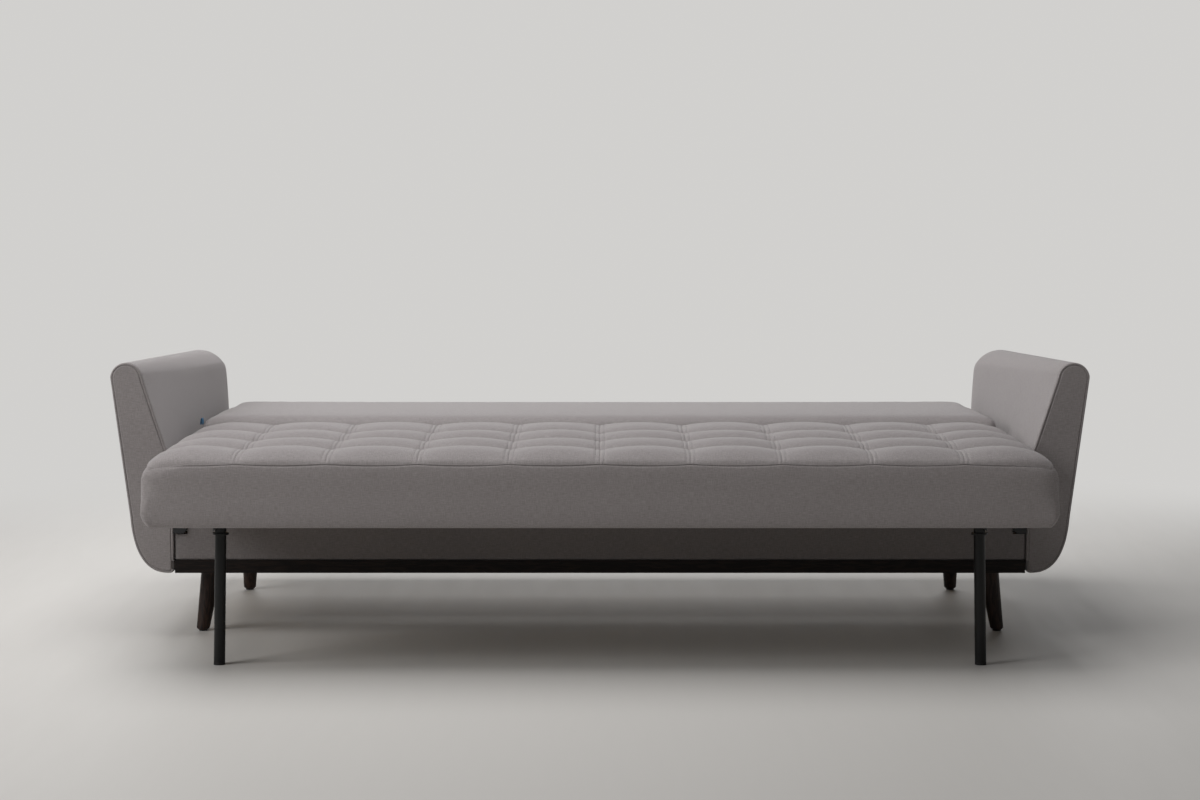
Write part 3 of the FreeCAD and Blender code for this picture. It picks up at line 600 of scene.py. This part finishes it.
def tuft_height(x, y):
    """Height of the tufted top over its row seams."""
    row = (y - SEAT_LOW.y) / TUFT_DEPTH
    off_row = off_middle(y, SEAT_LOW.y, TUFT_DEPTH, TUFT_ROWS)
    off_column = off_middle(x, SEAT_LOW.x, TUFT_WIDTH, TUFT_COLUMNS)
    end = smooth(SEAT_HIGH.x - TUFT_WIDTH / 2, SEAT_HIGH.x, abs(x))
    fullness = REAR_FULLNESS if row > TUFT_ROWS - 0.5 else ROW_FULLNESS
    crown = ROW_CROWN * (1 - off_row ** fullness)
    if row > TUFT_ROWS - 1:
        crown *= REAR_ROW_SHARE
    if abs(x) > SEAT_HIGH.x - TUFT_WIDTH / 2:
        off_column = 0.0
    to_seam = seam_distance(x, COLUMN_SEAMS)
    to_row = seam_distance(y, ROW_SEAMS)
    dip = COLUMN_DIP * off_column ** COLUMN_FULLNESS * (0.15 + 0.85 * (1 - off_row ** 3))
    height = crown * (1 - END_CROWN_LOSS * end) - dip
    height -= END_DROP * end
    edge = smooth(0.0, 0.005, y - SEAT_LOW.y) * smooth(0.0, 0.010, SEAT_HIGH.y - y)
    height -= COLUMN_SEAM_DEPTH * math.exp(-(to_seam / COLUMN_SEAM_WIDTH) ** 2) * edge
    stitch = math.exp(-((to_seam - TOPSTITCH_OFFSET) / TOPSTITCH_WIDTH) ** 2)
    height -= TOPSTITCH_DEPTH * stitch * edge
    height -= ROW_SEAM_DEPTH * math.exp(-(to_row / ROW_SEAM_WIDTH) ** 2) * (1 - end)
    height -= DIMPLE * math.exp(-(to_seam ** 2 + to_row ** 2) / DIMPLE_RADIUS ** 2)
    side = 1.0 if to_seam > TOPSTITCH_OFFSET else 0.0
    reach = math.exp(-(to_seam - TOPSTITCH_OFFSET) / PUCKER_REACH * 2) * side
    wobble = noise.noise(Vector((x * 9.0, y / PUCKER_PITCH, 3.1)))
    height += PUCKER * reach * wobble * edge
    height += TOP_WAVE * noise.noise(Vector((x * 7.0, y * 9.0, 0.4)))
    return height


def seat_profile(place):
    """Finished place of one point of the seat's block."""
    x, y, z = place
    end = smooth(SEAT_HIGH.x - 0.10, SEAT_HIGH.x - 0.02, abs(x))
    above = smooth(FRAME_TOP, FRAME_TOP + 0.06, z)
    side_radius = 0.012 + 0.034 * above
    front_radius = 0.010 + 0.002 * end + 0.016 * end * above
    low = Vector((SEAT_LOW.x, SEAT_LOW.y, FRAME_BOTTOM))
    high = Vector((SEAT_HIGH.x, SEAT_HIGH.y, ROW_SEAM_Z))
    done = rounded(place, low, high, (side_radius, front_radius, 0.007 + 0.009 * end),
                   (side_radius, front_radius + 0.004, 0.009 + 0.030 * end))
    done.x += math.copysign(END_BULGE, x) * end * smooth(FRAME_BOTTOM, FRAME_BOTTOM + 0.030, z)
    if z > ROW_SEAM_Z - 0.0001:
        done.z += tuft_height(x, y)
    below = smooth(FRAME_BOTTOM, FRAME_BOTTOM + 0.03, z) * smooth(ROW_SEAM_Z, ROW_SEAM_Z - 0.03, z)
    off_column = off_middle(x, SEAT_LOW.x, TUFT_WIDTH, TUFT_COLUMNS)
    front = smooth(SEAT_LOW.y + 0.05, SEAT_LOW.y, y) * smooth(0.41, BOXING_Z, z) * (1 - end)
    done.z += BOXING_WAVE * (off_column ** 2 - 0.4) * front
    if y < SEAT_LOW.y + 0.001 and z < ROW_SEAM_Z - 0.0001:
        done.y -= FRONT_BULGE * below * (1 - end)
        done.y += FRONT_WAVE * noise.noise(Vector((x * 6.0, 2.2, z * 11.0))) * below
    return done


def seat_cover():
    """Tufted seat: pillows between sewn channels, boxed front, lip round the frame."""
    columns = cell_grid(SEAT_LOW.x, TUFT_COLUMNS, TUFT_WIDTH, COLUMN_STEPS)
    rows = cell_grid(SEAT_LOW.y, TUFT_ROWS, TUFT_DEPTH, ROW_STEPS)
    columns = sorted(set(columns + [SEAT_LOW.x + LIP, SEAT_HIGH.x - LIP]))
    rows = sorted(set(rows + [SEAT_LOW.y + LIP, SEAT_HIGH.y - LIP]))
    levels = [FRAME_BOTTOM + rise for rise in FRAME_WRAP_LEVELS] + list(SEAT_SIDE_LEVELS)
    piece = gridded_block("seat_cover", columns, rows, levels)
    in_x = SEAT_HIGH.x - LIP + 0.0001
    in_low_y = SEAT_LOW.y + LIP - 0.0001
    in_high_y = SEAT_HIGH.y - LIP + 0.0001
    for vertex in piece.data.vertices:
        x, y, z = vertex.co
        inside = abs(x) < in_x and in_low_y < y < in_high_y
        if z < FRAME_BOTTOM + 0.0001 and inside:
            vertex.co.z = FRAME_TOP + COVER_CLEAR
        else:
            seam = abs(z - BOXING_Z) < 0.0001
            vertex.co = seat_profile(vertex.co)
            if seam and vertex.co.y < SEAT_LOW.y + 0.02:
                vertex.co.y += BOXING_TUCK * smooth(SEAT_HIGH.x - 0.04, SEAT_HIGH.x - 0.11, abs(x))
    outward(piece)
    mark_lining(piece)
    cloth_map(piece)
    return piece


def mark_lining(piece):
    """Cloth outside, black lining on the faces under the foam."""
    paint(piece, CLOTH, LINING)
    for face in piece.data.polygons:
        if face.normal.z < -0.9 and face.center.z > FRAME_TOP - 0.001:
            face.material_index = 1


def seat_stitches():
    """Two rows of topstitching beside every column seam."""
    clear_selection()
    bpy.ops.mesh.primitive_cylinder_add(vertices=6, radius=STITCH_RADIUS, depth=STITCH_LENGTH,
                                        rotation=(math.pi / 2, 0, 0))
    stitch = bpy.context.object
    settle(stitch)
    apply_modifier(stitch, "BEVEL", width=0.0002, segments=1)
    start = SEAT_LOW.y + 0.010
    count = int((SEAT_HIGH.y - 0.012 - start) / STITCH_PITCH)
    apply_modifier(stitch, "ARRAY", count=count, use_relative_offset=False, use_constant_offset=True,
                   constant_offset_displace=(0, STITCH_PITCH, 0))
    runs = []
    for seam in COLUMN_SEAMS:
        for side in (-1, 1):
            x = seam + side * TOPSTITCH_OFFSET
            run = stitch.copy()
            run.data = stitch.data.copy()
            bpy.context.collection.objects.link(run)
            for vertex in run.data.vertices:
                y = vertex.co.y + start
                lift = ROW_SEAM_Z + tuft_height(x, y) + 0.0001
                vertex.co = (vertex.co.x + x, y, vertex.co.z + lift)
            runs.append(run)
    bpy.data.objects.remove(stitch)
    piece = joined(runs, "seat_topstitching")
    paint(piece, THREAD)
    return piece


# ---- back cover ------------------------------------------------------------------------------------
def swell(piece, pressure, cap, voxel):
    """Inflate a closed soft shape with cloth, with no point moving further than the cap."""
    apply_modifier(piece, "REMESH", mode="VOXEL", voxel_size=voxel)
    before = [vertex.co.copy() for vertex in piece.data.vertices]
    take(piece)
    cloth = piece.modifiers.new("swell", "CLOTH")
    cloth.settings.quality = 4
    cloth.settings.use_pressure = True
    cloth.settings.uniform_pressure_force = pressure
    cloth.settings.effector_weights.gravity = 0.0
    cloth.settings.tension_stiffness = 20
    cloth.settings.compression_stiffness = 20
    cloth.point_cache.frame_start = 1
    cloth.point_cache.frame_end = 20
    for number in range(1, 21):
        bpy.context.scene.frame_set(number)
    take(piece)
    bpy.ops.object.modifier_apply(modifier="swell")
    for vertex, start in zip(piece.data.vertices, before):
        move = vertex.co - start
        if move.length > cap:
            vertex.co = start + move * (cap / move.length)
    bpy.context.scene.frame_set(1)


def back_cover():
    """Plain back panel: a crowned pad with soft rolled edges, swollen by cloth."""
    low = Vector((BACK_LOW.x + BACK_SHRINK, BACK_LOW.y + BACK_SHRINK, BACK_LOW.z + COVER_CLEAR))
    high = Vector((BACK_HIGH.x - BACK_SHRINK, BACK_HIGH.y - BACK_SHRINK, BACK_HIGH.z))
    steps = (0.0, 0.006, 0.014, 0.024, 0.036, 0.050)
    columns = spaced(low.x, high.x, steps, 0.05)
    rows = spaced(low.y, high.y, steps, 0.04)
    levels = [low.z, low.z + 0.006, low.z + 0.014, low.z + 0.030, low.z + 0.05, high.z - 0.05,
              high.z - 0.034, high.z - 0.020, high.z - 0.009, high.z]
    piece = gridded_block("back_cover", columns, rows, levels)
    for vertex in piece.data.vertices:
        z = vertex.co.z
        vertex.co = rounded(vertex.co, low, high, (0.020, 0.045, 0.012), (0.020, 0.022, 0.030))
        lift = BACK_CROWN * (1 - smooth(BACK_LOW.y + 0.12, BACK_HIGH.y, vertex.co.y))
        vertex.co.z += lift * smooth(low.z + 0.03, high.z - 0.03, z)
    outward(piece)
    swell(piece, 4.0, 0.006, 0.009)
    for vertex in piece.data.vertices:
        vertex.co.x = max(min(vertex.co.x, BACK_HIGH.x), BACK_LOW.x)
        vertex.co.y = max(min(vertex.co.y, BACK_HIGH.y), BACK_LOW.y)
        vertex.co.z = max(vertex.co.z, FRAME_TOP + COVER_CLEAR)
    outward(piece)
    mark_lining(piece)
    cloth_map(piece)
    return piece


def plan_outline(low, high, radius, inset):
    """Points round a rectangle with rounded corners, seen from above."""
    points = []
    steps = 6
    reach = radius - inset
    for corner, (side_x, side_y) in enumerate(((1, -1), (1, 1), (-1, 1), (-1, -1))):
        centre_x = (high.x if side_x > 0 else low.x) - side_x * radius
        centre_y = (high.y if side_y > 0 else low.y) - side_y * radius
        for k in range(steps + 1):
            turn = math.pi / 2 * (corner - 1 + k / steps)
            points.append((centre_x + reach * math.cos(turn), centre_y + reach * math.sin(turn)))
    return points


def back_skirt():
    """Band of cloth round the back's steel frame, under the pad."""
    low = Vector((BACK_LOW.x + 0.001, BACK_LOW.y + 0.001, FRAME_BOTTOM + COVER_CLEAR))
    high = Vector((BACK_HIGH.x - 0.001, BACK_HIGH.y + SKIRT_REAR, FRAME_TOP + SKIRT_RISE))
    outer = plan_outline(low, high, SKIRT_CORNER, 0.0)
    edge = plan_outline(low, high, SKIRT_CORNER, SKIRT_ROUND)
    inner = plan_outline(low, high, SKIRT_CORNER, SKIRT_THICKNESS)
    rings = [(inner, low.z + 0.001), (edge, low.z), (outer, low.z + 0.0016)]
    rings += [(outer, level) for level in SKIRT_LEVELS] + [(edge, high.z - 0.001), (inner, high.z)]

    def place(i, j):
        points, z = rings[i % len(rings)]
        x, y = points[j % len(points)]
        ripple = 0.0006 * noise.noise(Vector((x * 7, y * 7, z * 40)))
        return x, y + ripple, z

    piece = wrap_grid("back_skirt", len(rings), len(outer), place)
    outward(piece)
    paint(piece, CLOTH)
    cloth_map(piece)
    return piece


# ---- arms --------------------------------------------------------------------------------------------
def arc_points(start, via, end, count):
    """Points on the circle through three (x, z) places, from start up to but not with end."""
    ax, ay = start
    bx, by = via
    cx, cy = end
    scale = 2 * (ax * (by - cy) + bx * (cy - ay) + cx * (ay - by))
    ux = ((ax * ax + ay * ay) * (by - cy) + (bx * bx + by * by) * (cy - ay)
          + (cx * cx + cy * cy) * (ay - by)) / scale
    uy = ((ax * ax + ay * ay) * (cx - bx) + (bx * bx + by * by) * (ax - cx)
          + (cx * cx + cy * cy) * (bx - ax)) / scale
    radius = math.hypot(ax - ux, ay - uy)
    first = math.atan2(ay - uy, ax - ux)
    middle = (math.atan2(by - uy, bx - ux) - first) % math.tau
    last = (math.atan2(cy - uy, cx - ux) - first) % math.tau
    if middle > last:
        last -= math.tau
    turns = [first + last * k / count for k in range(count)]
    return [(ux + radius * math.cos(turn), uy + radius * math.sin(turn)) for turn in turns]


def line_points(start, end, count):
    """Points on a straight stretch, from start up to but not with end."""
    return [(start[0] + (end[0] - start[0]) * k / count, start[1] + (end[1] - start[1]) * k / count)
            for k in range(count)]


def curve_points(start, first, second, end, count):
    """Points on a Bezier curve, from start up to but not with end."""
    points = []
    for k in range(count):
        t = k / count
        pulls = list(zip(((1 - t) ** 3, 3 * t * (1 - t) ** 2, 3 * t * t * (1 - t), t ** 3),
                         (start, first, second, end)))
        points.append(tuple(sum(share * place[axis] for share, place in pulls) for axis in (0, 1)))
    return points


def arm_section(share, drop=0.0):
    """Closed outline of the right arm, from the front at share 0 to the rear at share 1."""
    inner_x = ARM_LOW.x
    outer_x = ARM_HIGH.x - ARM_REAR_INSET * share
    inner_top_x = (ARM_HIGH.x - ARM_TOP_THICKNESS) * (1 - share) + (inner_x + ARM_REAR_SHIFT) * share
    top_z = ARM_HIGH.z - ARM_REAR_DROP * share - drop
    shoulder_z = top_z - ARM_SHOULDER_DROP
    belly_x = outer_x - ARM_BELLY_INSET
    sole_x = inner_x + ARM_BOTTOM_SOLE
    foot = (inner_x, ARM_LOW.z + ARM_BOTTOM_SOLE)
    bend = (inner_x, ARM_BEND_Z)
    inner = (inner_top_x, shoulder_z)
    crown = ((inner_top_x + outer_x) / 2, top_z)
    outer = (outer_x, shoulder_z)
    belly = (belly_x, ARM_BELLY_Z)
    sole = (sole_x, ARM_LOW.z)
    turn = ARM_BOTTOM_SOLE * (1 - math.sqrt(0.5))
    points = line_points(foot, bend, 12) + line_points(bend, inner, 12)
    points += arc_points(inner, crown, outer, 22) + line_points(outer, belly, 16)
    points += curve_points(belly, (belly_x - 0.005, ARM_LOW.z + 0.058),
                           (belly_x - 0.028, ARM_LOW.z - 0.004), sole, 18)
    return points + arc_points(sole, (inner_x + turn, ARM_LOW.z + turn), foot, 5)


def shrunk(points, inset):
    """Outline moved inwards along its normals."""
    count = len(points)
    moved = []
    for index, (x, z) in enumerate(points):
        before = points[index - 1]
        after = points[(index + 1) % count]
        run = (after[0] - before[0], after[1] - before[1])
        length = math.hypot(*run)
        moved.append((x + run[1] / length * inset, z - run[0] / length * inset))
    return moved


def arm_stations():
    """Depth, inward offset and top drop of every ring along the right arm."""
    rings = [(ARM_LOW.y + y, inset, 0.0) for y, inset in ARM_FRONT_RINGS]
    length = ARM_HIGH.y - ARM_LOW.y
    body = spaced(0.014, length - ARM_REAR_ROUND, (0.0, 0.012), 0.03)
    rings += [(ARM_LOW.y + y, 0.0, 0.0) for y in body]
    for k in range(1, 13):
        turn = math.pi / 2 * k / 13
        drop = ARM_REAR_ROUND * (1 - math.cos(turn))
        edge = max(0.0, math.sin(turn) - 0.82) / 0.18
        rings.append((ARM_HIGH.y - ARM_REAR_ROUND * (1 - math.sin(turn)), 0.010 * edge ** 2, drop))
    return rings


def arm_cover():
    """Right arm's cover: flared, with a flat front face and a rounded top rear corner."""
    rings = arm_stations()
    length = ARM_HIGH.y - ARM_LOW.y
    sections = []
    for y, inset, drop in rings:
        share = (y - ARM_LOW.y) / length
        sections.append((y, shrunk(arm_section(share, drop), inset)))
    around = len(sections[0][1])

    def place(i, j):
        y, points = sections[j]
        x, z = points[i % around]
        if z > ARM_BEND_Z + 0.05:
            x += ARM_WAVE * noise.noise(Vector((x * 4, y * 6, z * 7)))
        return x, y, z

    piece = wrap_grid("right_arm_cover", around, len(rings) - 1, place)
    outward(piece)
    take(piece)
    bpy.ops.object.mode_set(mode="EDIT")
    bpy.ops.mesh.select_all(action="SELECT")
    bpy.ops.mesh.fill_holes(sides=0)
    bpy.ops.object.mode_set(mode="OBJECT")
    outward(piece)
    for face in piece.data.polygons:
        face.use_smooth = len(face.vertices) <= 4
    paint(piece, CLOTH)
    cloth_map(piece)
    return piece


def arm_piping():
    """Cord sewn round the right arm's front edge, from the foot of its inner face to the sole."""
    points = shrunk(arm_section(0.0), PIPING_INSET)
    y = ARM_LOW.y + PIPING_DEPTH
    bpy.ops.curve.primitive_nurbs_path_add()
    cord = bpy.context.object
    cord.name = "right_front_piping"
    spline = cord.data.splines[0]
    route = points[1:] + points[:1]
    spline.points.add(len(route) - len(spline.points))
    for point, (x, z) in zip(spline.points, route):
        point.co = (x, y, z, 1.0)
    spline.order_u = 3
    spline.use_endpoint_u = True
    cord.data.bevel_depth = PIPING_RADIUS
    cord.data.bevel_resolution = 2
    cord.data.resolution_u = 3
    cord.data.use_fill_caps = True
    take(cord)
    bpy.ops.object.convert(target="MESH")
    piece = bpy.context.object
    outward(piece)
    paint(piece, CLOTH)
    cloth_map(piece)
    return piece


# ---- fascia -----------------------------------------------------------------------------------------
def fascia_cover():
    """Padded cloth over the fascia board, cut away at both ends for the channels."""
    low = FASCIA_LOW.copy()
    high = FASCIA_HIGH.copy()
    steps = (0.0, 0.002, 0.005, 0.010)
    columns = spaced(low.x, high.x, steps, 0.04)
    rows = [low.y, low.y + 0.002, low.y + 0.005, high.y - 0.003, high.y]
    levels = spaced(low.z, high.z, steps, 0.02)
    piece = gridded_block("fascia_cover", columns, rows, levels)
    for vertex in piece.data.vertices:
        x, y, z = vertex.co
        done = rounded(vertex.co, low, high, (0.006, 0.006, 0.004), (0.006, 0.001, 0.004))
        if y < low.y + 0.001:
            done.y += 0.0008 * noise.noise(Vector((x * 5, 1.7, z * 20)))
        vertex.co = done
    outward(piece)
    notch_in_x = CHANNEL_LOW.x - 0.002
    notch_out_x = high.x + 0.01
    for side in (-1, 1):
        middle = (side * (notch_in_x + notch_out_x) / 2, (low.y + high.y) / 2, high.z)
        bpy.ops.mesh.primitive_cube_add(size=1.0, location=middle)
        tool = bpy.context.object
        tool.scale = (notch_out_x - notch_in_x, 0.06, 2 * (high.z - CHANNEL_LOW.z + 0.002))
        settle(tool)
        apply_modifier(piece, "BOOLEAN", operation="DIFFERENCE", object=tool, solver="EXACT")
        bpy.data.objects.remove(tool)
    outward(piece)
    bpy.ops.object.shade_smooth_by_angle(angle=math.radians(50))
    # The fascia gets the darkened upholstery: painted shade under the seat.
    paint(piece, FASCIA_CLOTH_PAINTED_SHADE)
    cloth_map(piece)
    return piece


# ---- lift tab ------------------------------------------------------------------------------------------
def lift_tab():
    """Blank folded tape sewn to the left end of the back, by the seat."""
    x = BACK_LOW.x + TAB_PLACE[0]
    y = BACK_LOW.y + TAB_PLACE[1]
    z = BACK_HIGH.z + TAB_PLACE[2]
    clear_selection()
    bpy.ops.mesh.primitive_grid_add(x_subdivisions=6, y_subdivisions=18, size=2.0)
    piece = bpy.context.object
    piece.name = "lift_tab"
    for vertex in piece.data.vertices:
        across = vertex.co.x * TAB_WIDTH / 2
        turn = vertex.co.y * math.pi / 2
        rise = math.cos(turn)
        vertex.co = (x + math.sin(turn) * TAB_HALF_GAP + 0.0012 * across / TAB_WIDTH,
                     y + across + 0.004 * rise, z + rise * TAB_HEIGHT)
    apply_modifier(piece, "SOLIDIFY", thickness=TAB_THICKNESS, offset=0.0)
    outward(piece)
    paint(piece, TAPE)
    cloth_map(piece)
    return piece


# ---- studio ---------------------------------------------------------------------------------------------
FLOOR_TONE = (0.565, 0.548, 0.525)
WALL_TONE = (0.640, 0.632, 0.618)
FADE_CENTRE_Y = -0.4
FADE_START = 2.1
FADE_END = 3.7
SKY_STRENGTH = 0.10
# name, place, target, width and height, watts
LAMPS = (
    ("ceiling_lamp", (-0.9, 0.1, 3.6), (-0.1, 0.1, 0.3), (3.8, 3.0), 112.0),
    ("window_lamp", (-4.2, -2.4, 2.9), (0.0, 0.0, 0.3), (2.6, 2.2), 112.0),
    ("rear_lamp", (0.0, 5.6, 1.5), (0.0, 0.0, 0.0), (6.0, 2.4), 165.0),
)
CAMERA_HEIGHT = 1.071
CAMERA_DISTANCE = 5.77         # to the front of the arms
CAMERA_PITCH = math.radians(5.09)
CAMERA_LENS = 75.4


def add_floor():
    """Pale floor that fades into the backdrop's tone away from the object."""
    bpy.ops.mesh.primitive_circle_add(vertices=96, radius=40.0, fill_type="NGON")
    floor = bpy.context.object
    floor.name = "studio_floor"
    finish = Finish("floor_finish", Specular_IOR_Level=0.2)
    place = finish.place()
    grain = finish.noise(finish.stretched(place, (26.0, 3.0, 1.0)), 1.0, 4.0, 0.6)
    colour = finish.mix(grain * 0.35, FLOOR_TONE, tuple(0.94 * value for value in FLOOR_TONE))
    material = finish.drive(Base_Color=colour, Roughness=0.62 + 0.1 * grain)
    away = finish.node("ShaderNodeVectorMath", {"operation": "SUBTRACT"},
                       {0: place, 1: (0, FADE_CENTRE_Y, 0)})
    distance = finish.node("ShaderNodeVectorMath", {"operation": "LENGTH"}, {0: away}, "Value")
    share = finish.node("ShaderNodeMapRange", {"interpolation_type": "SMOOTHSTEP"},
                        {"Value": distance, "From Min": FADE_START, "From Max": FADE_END})
    glow = finish.node("ShaderNodeEmission", {}, {"Color": (*WALL_TONE, 1.0), "Strength": 1.0})
    blend = finish.node("ShaderNodeMixShader", {}, {0: share})
    mixer = blend.socket.node
    finish.tree.links.new(finish.shader.outputs[0], mixer.inputs[1])
    finish.tree.links.new(glow.socket, mixer.inputs[2])
    finish.tree.links.new(mixer.outputs[0], finish.output.inputs["Surface"])
    floor.data.materials.append(material)


def set_world():
    """Even sky light, with the backdrop's tone behind it for the camera."""
    world = bpy.data.worlds.new("studio")
    bpy.context.scene.world = world
    world.use_nodes = True
    tree = world.node_tree
    tree.nodes.clear()
    output = tree.nodes.new("ShaderNodeOutputWorld")
    ambient = tree.nodes.new("ShaderNodeBackground")
    ambient.inputs["Color"].default_value = (1.0, 0.99, 0.98, 1.0)
    ambient.inputs["Strength"].default_value = SKY_STRENGTH
    backdrop = tree.nodes.new("ShaderNodeBackground")
    backdrop.inputs["Color"].default_value = (*WALL_TONE, 1.0)
    backdrop.inputs["Strength"].default_value = 1.0
    rays = tree.nodes.new("ShaderNodeLightPath")
    mixer = tree.nodes.new("ShaderNodeMixShader")
    tree.links.new(rays.outputs["Is Camera Ray"], mixer.inputs[0])
    tree.links.new(ambient.outputs[0], mixer.inputs[1])
    tree.links.new(backdrop.outputs[0], mixer.inputs[2])
    tree.links.new(mixer.outputs[0], output.inputs["Surface"])


def add_lamp(name, place, target, size, power):
    """Soft rectangular lamp that points at a target."""
    data = bpy.data.lights.new(name, "AREA")
    data.shape = "RECTANGLE"
    data.size = size[0]
    data.size_y = size[1]
    data.energy = power
    lamp = bpy.data.objects.new(name, data)
    bpy.context.collection.objects.link(lamp)
    lamp.location = place
    lamp.visible_camera = False
    lamp.rotation_euler = (Vector(target) - Vector(place)).to_track_quat("-Z", "Y").to_euler()


def add_camera():
    """Level-headed front view, looking slightly down."""
    data = bpy.data.cameras.new("front_view")
    data.lens = CAMERA_LENS
    data.sensor_width = 36.0
    camera = bpy.data.objects.new("front_view", data)
    bpy.context.collection.objects.link(camera)
    camera.location = (0.0, ARM_LOW.y - CAMERA_DISTANCE, CAMERA_HEIGHT)
    camera.rotation_euler = (math.pi / 2 - CAMERA_PITCH, 0.0, 0.0)
    bpy.context.scene.camera = camera


def add_studio():
    """Camera, lamps, sky and floor."""
    add_camera()
    set_world()
    for lamp in LAMPS:
        add_lamp(*lamp)
    add_floor()
    bpy.context.scene.view_settings.view_transform = "Standard"


# ---- the object ---------------------------------------------------------------------------------------
def finish_piece(piece, body, stands_for=()):
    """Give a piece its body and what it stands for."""
    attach(piece, body)
    if stands_for:
        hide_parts(*stands_for)


def make_seat():
    """Cover and topstitching."""
    finish_piece(seat_cover(), "seat", ["seat_cushion"])
    finish_piece(seat_stitches(), "seat")


def make_back():
    """Cover, the skirt under it and the lift tab at its left end."""
    finish_piece(back_cover(), "back", ["back_cushion"])
    finish_piece(back_skirt(), "back")
    finish_piece(lift_tab(), "back")


def make_arms():
    """Covers and front piping, the left ones mirrored from the right."""
    right_cover = arm_cover()
    right_piping = arm_piping()
    left_cover = mirrored(right_cover, "left_arm_cover")
    left_piping = mirrored(right_piping, "left_front_piping")
    finish_piece(right_cover, "base", ["right_arm_pad"])
    finish_piece(left_cover, "base", ["left_arm_pad"])
    finish_piece(right_piping, "base")
    finish_piece(left_piping, "base")


def make_fascia():
    """Cloth over the fascia board."""
    finish_piece(fascia_cover(), "base", ["fascia_panel"])


add_studio()
paint_frame()
make_seat()
make_back()
make_arms()
make_fascia()
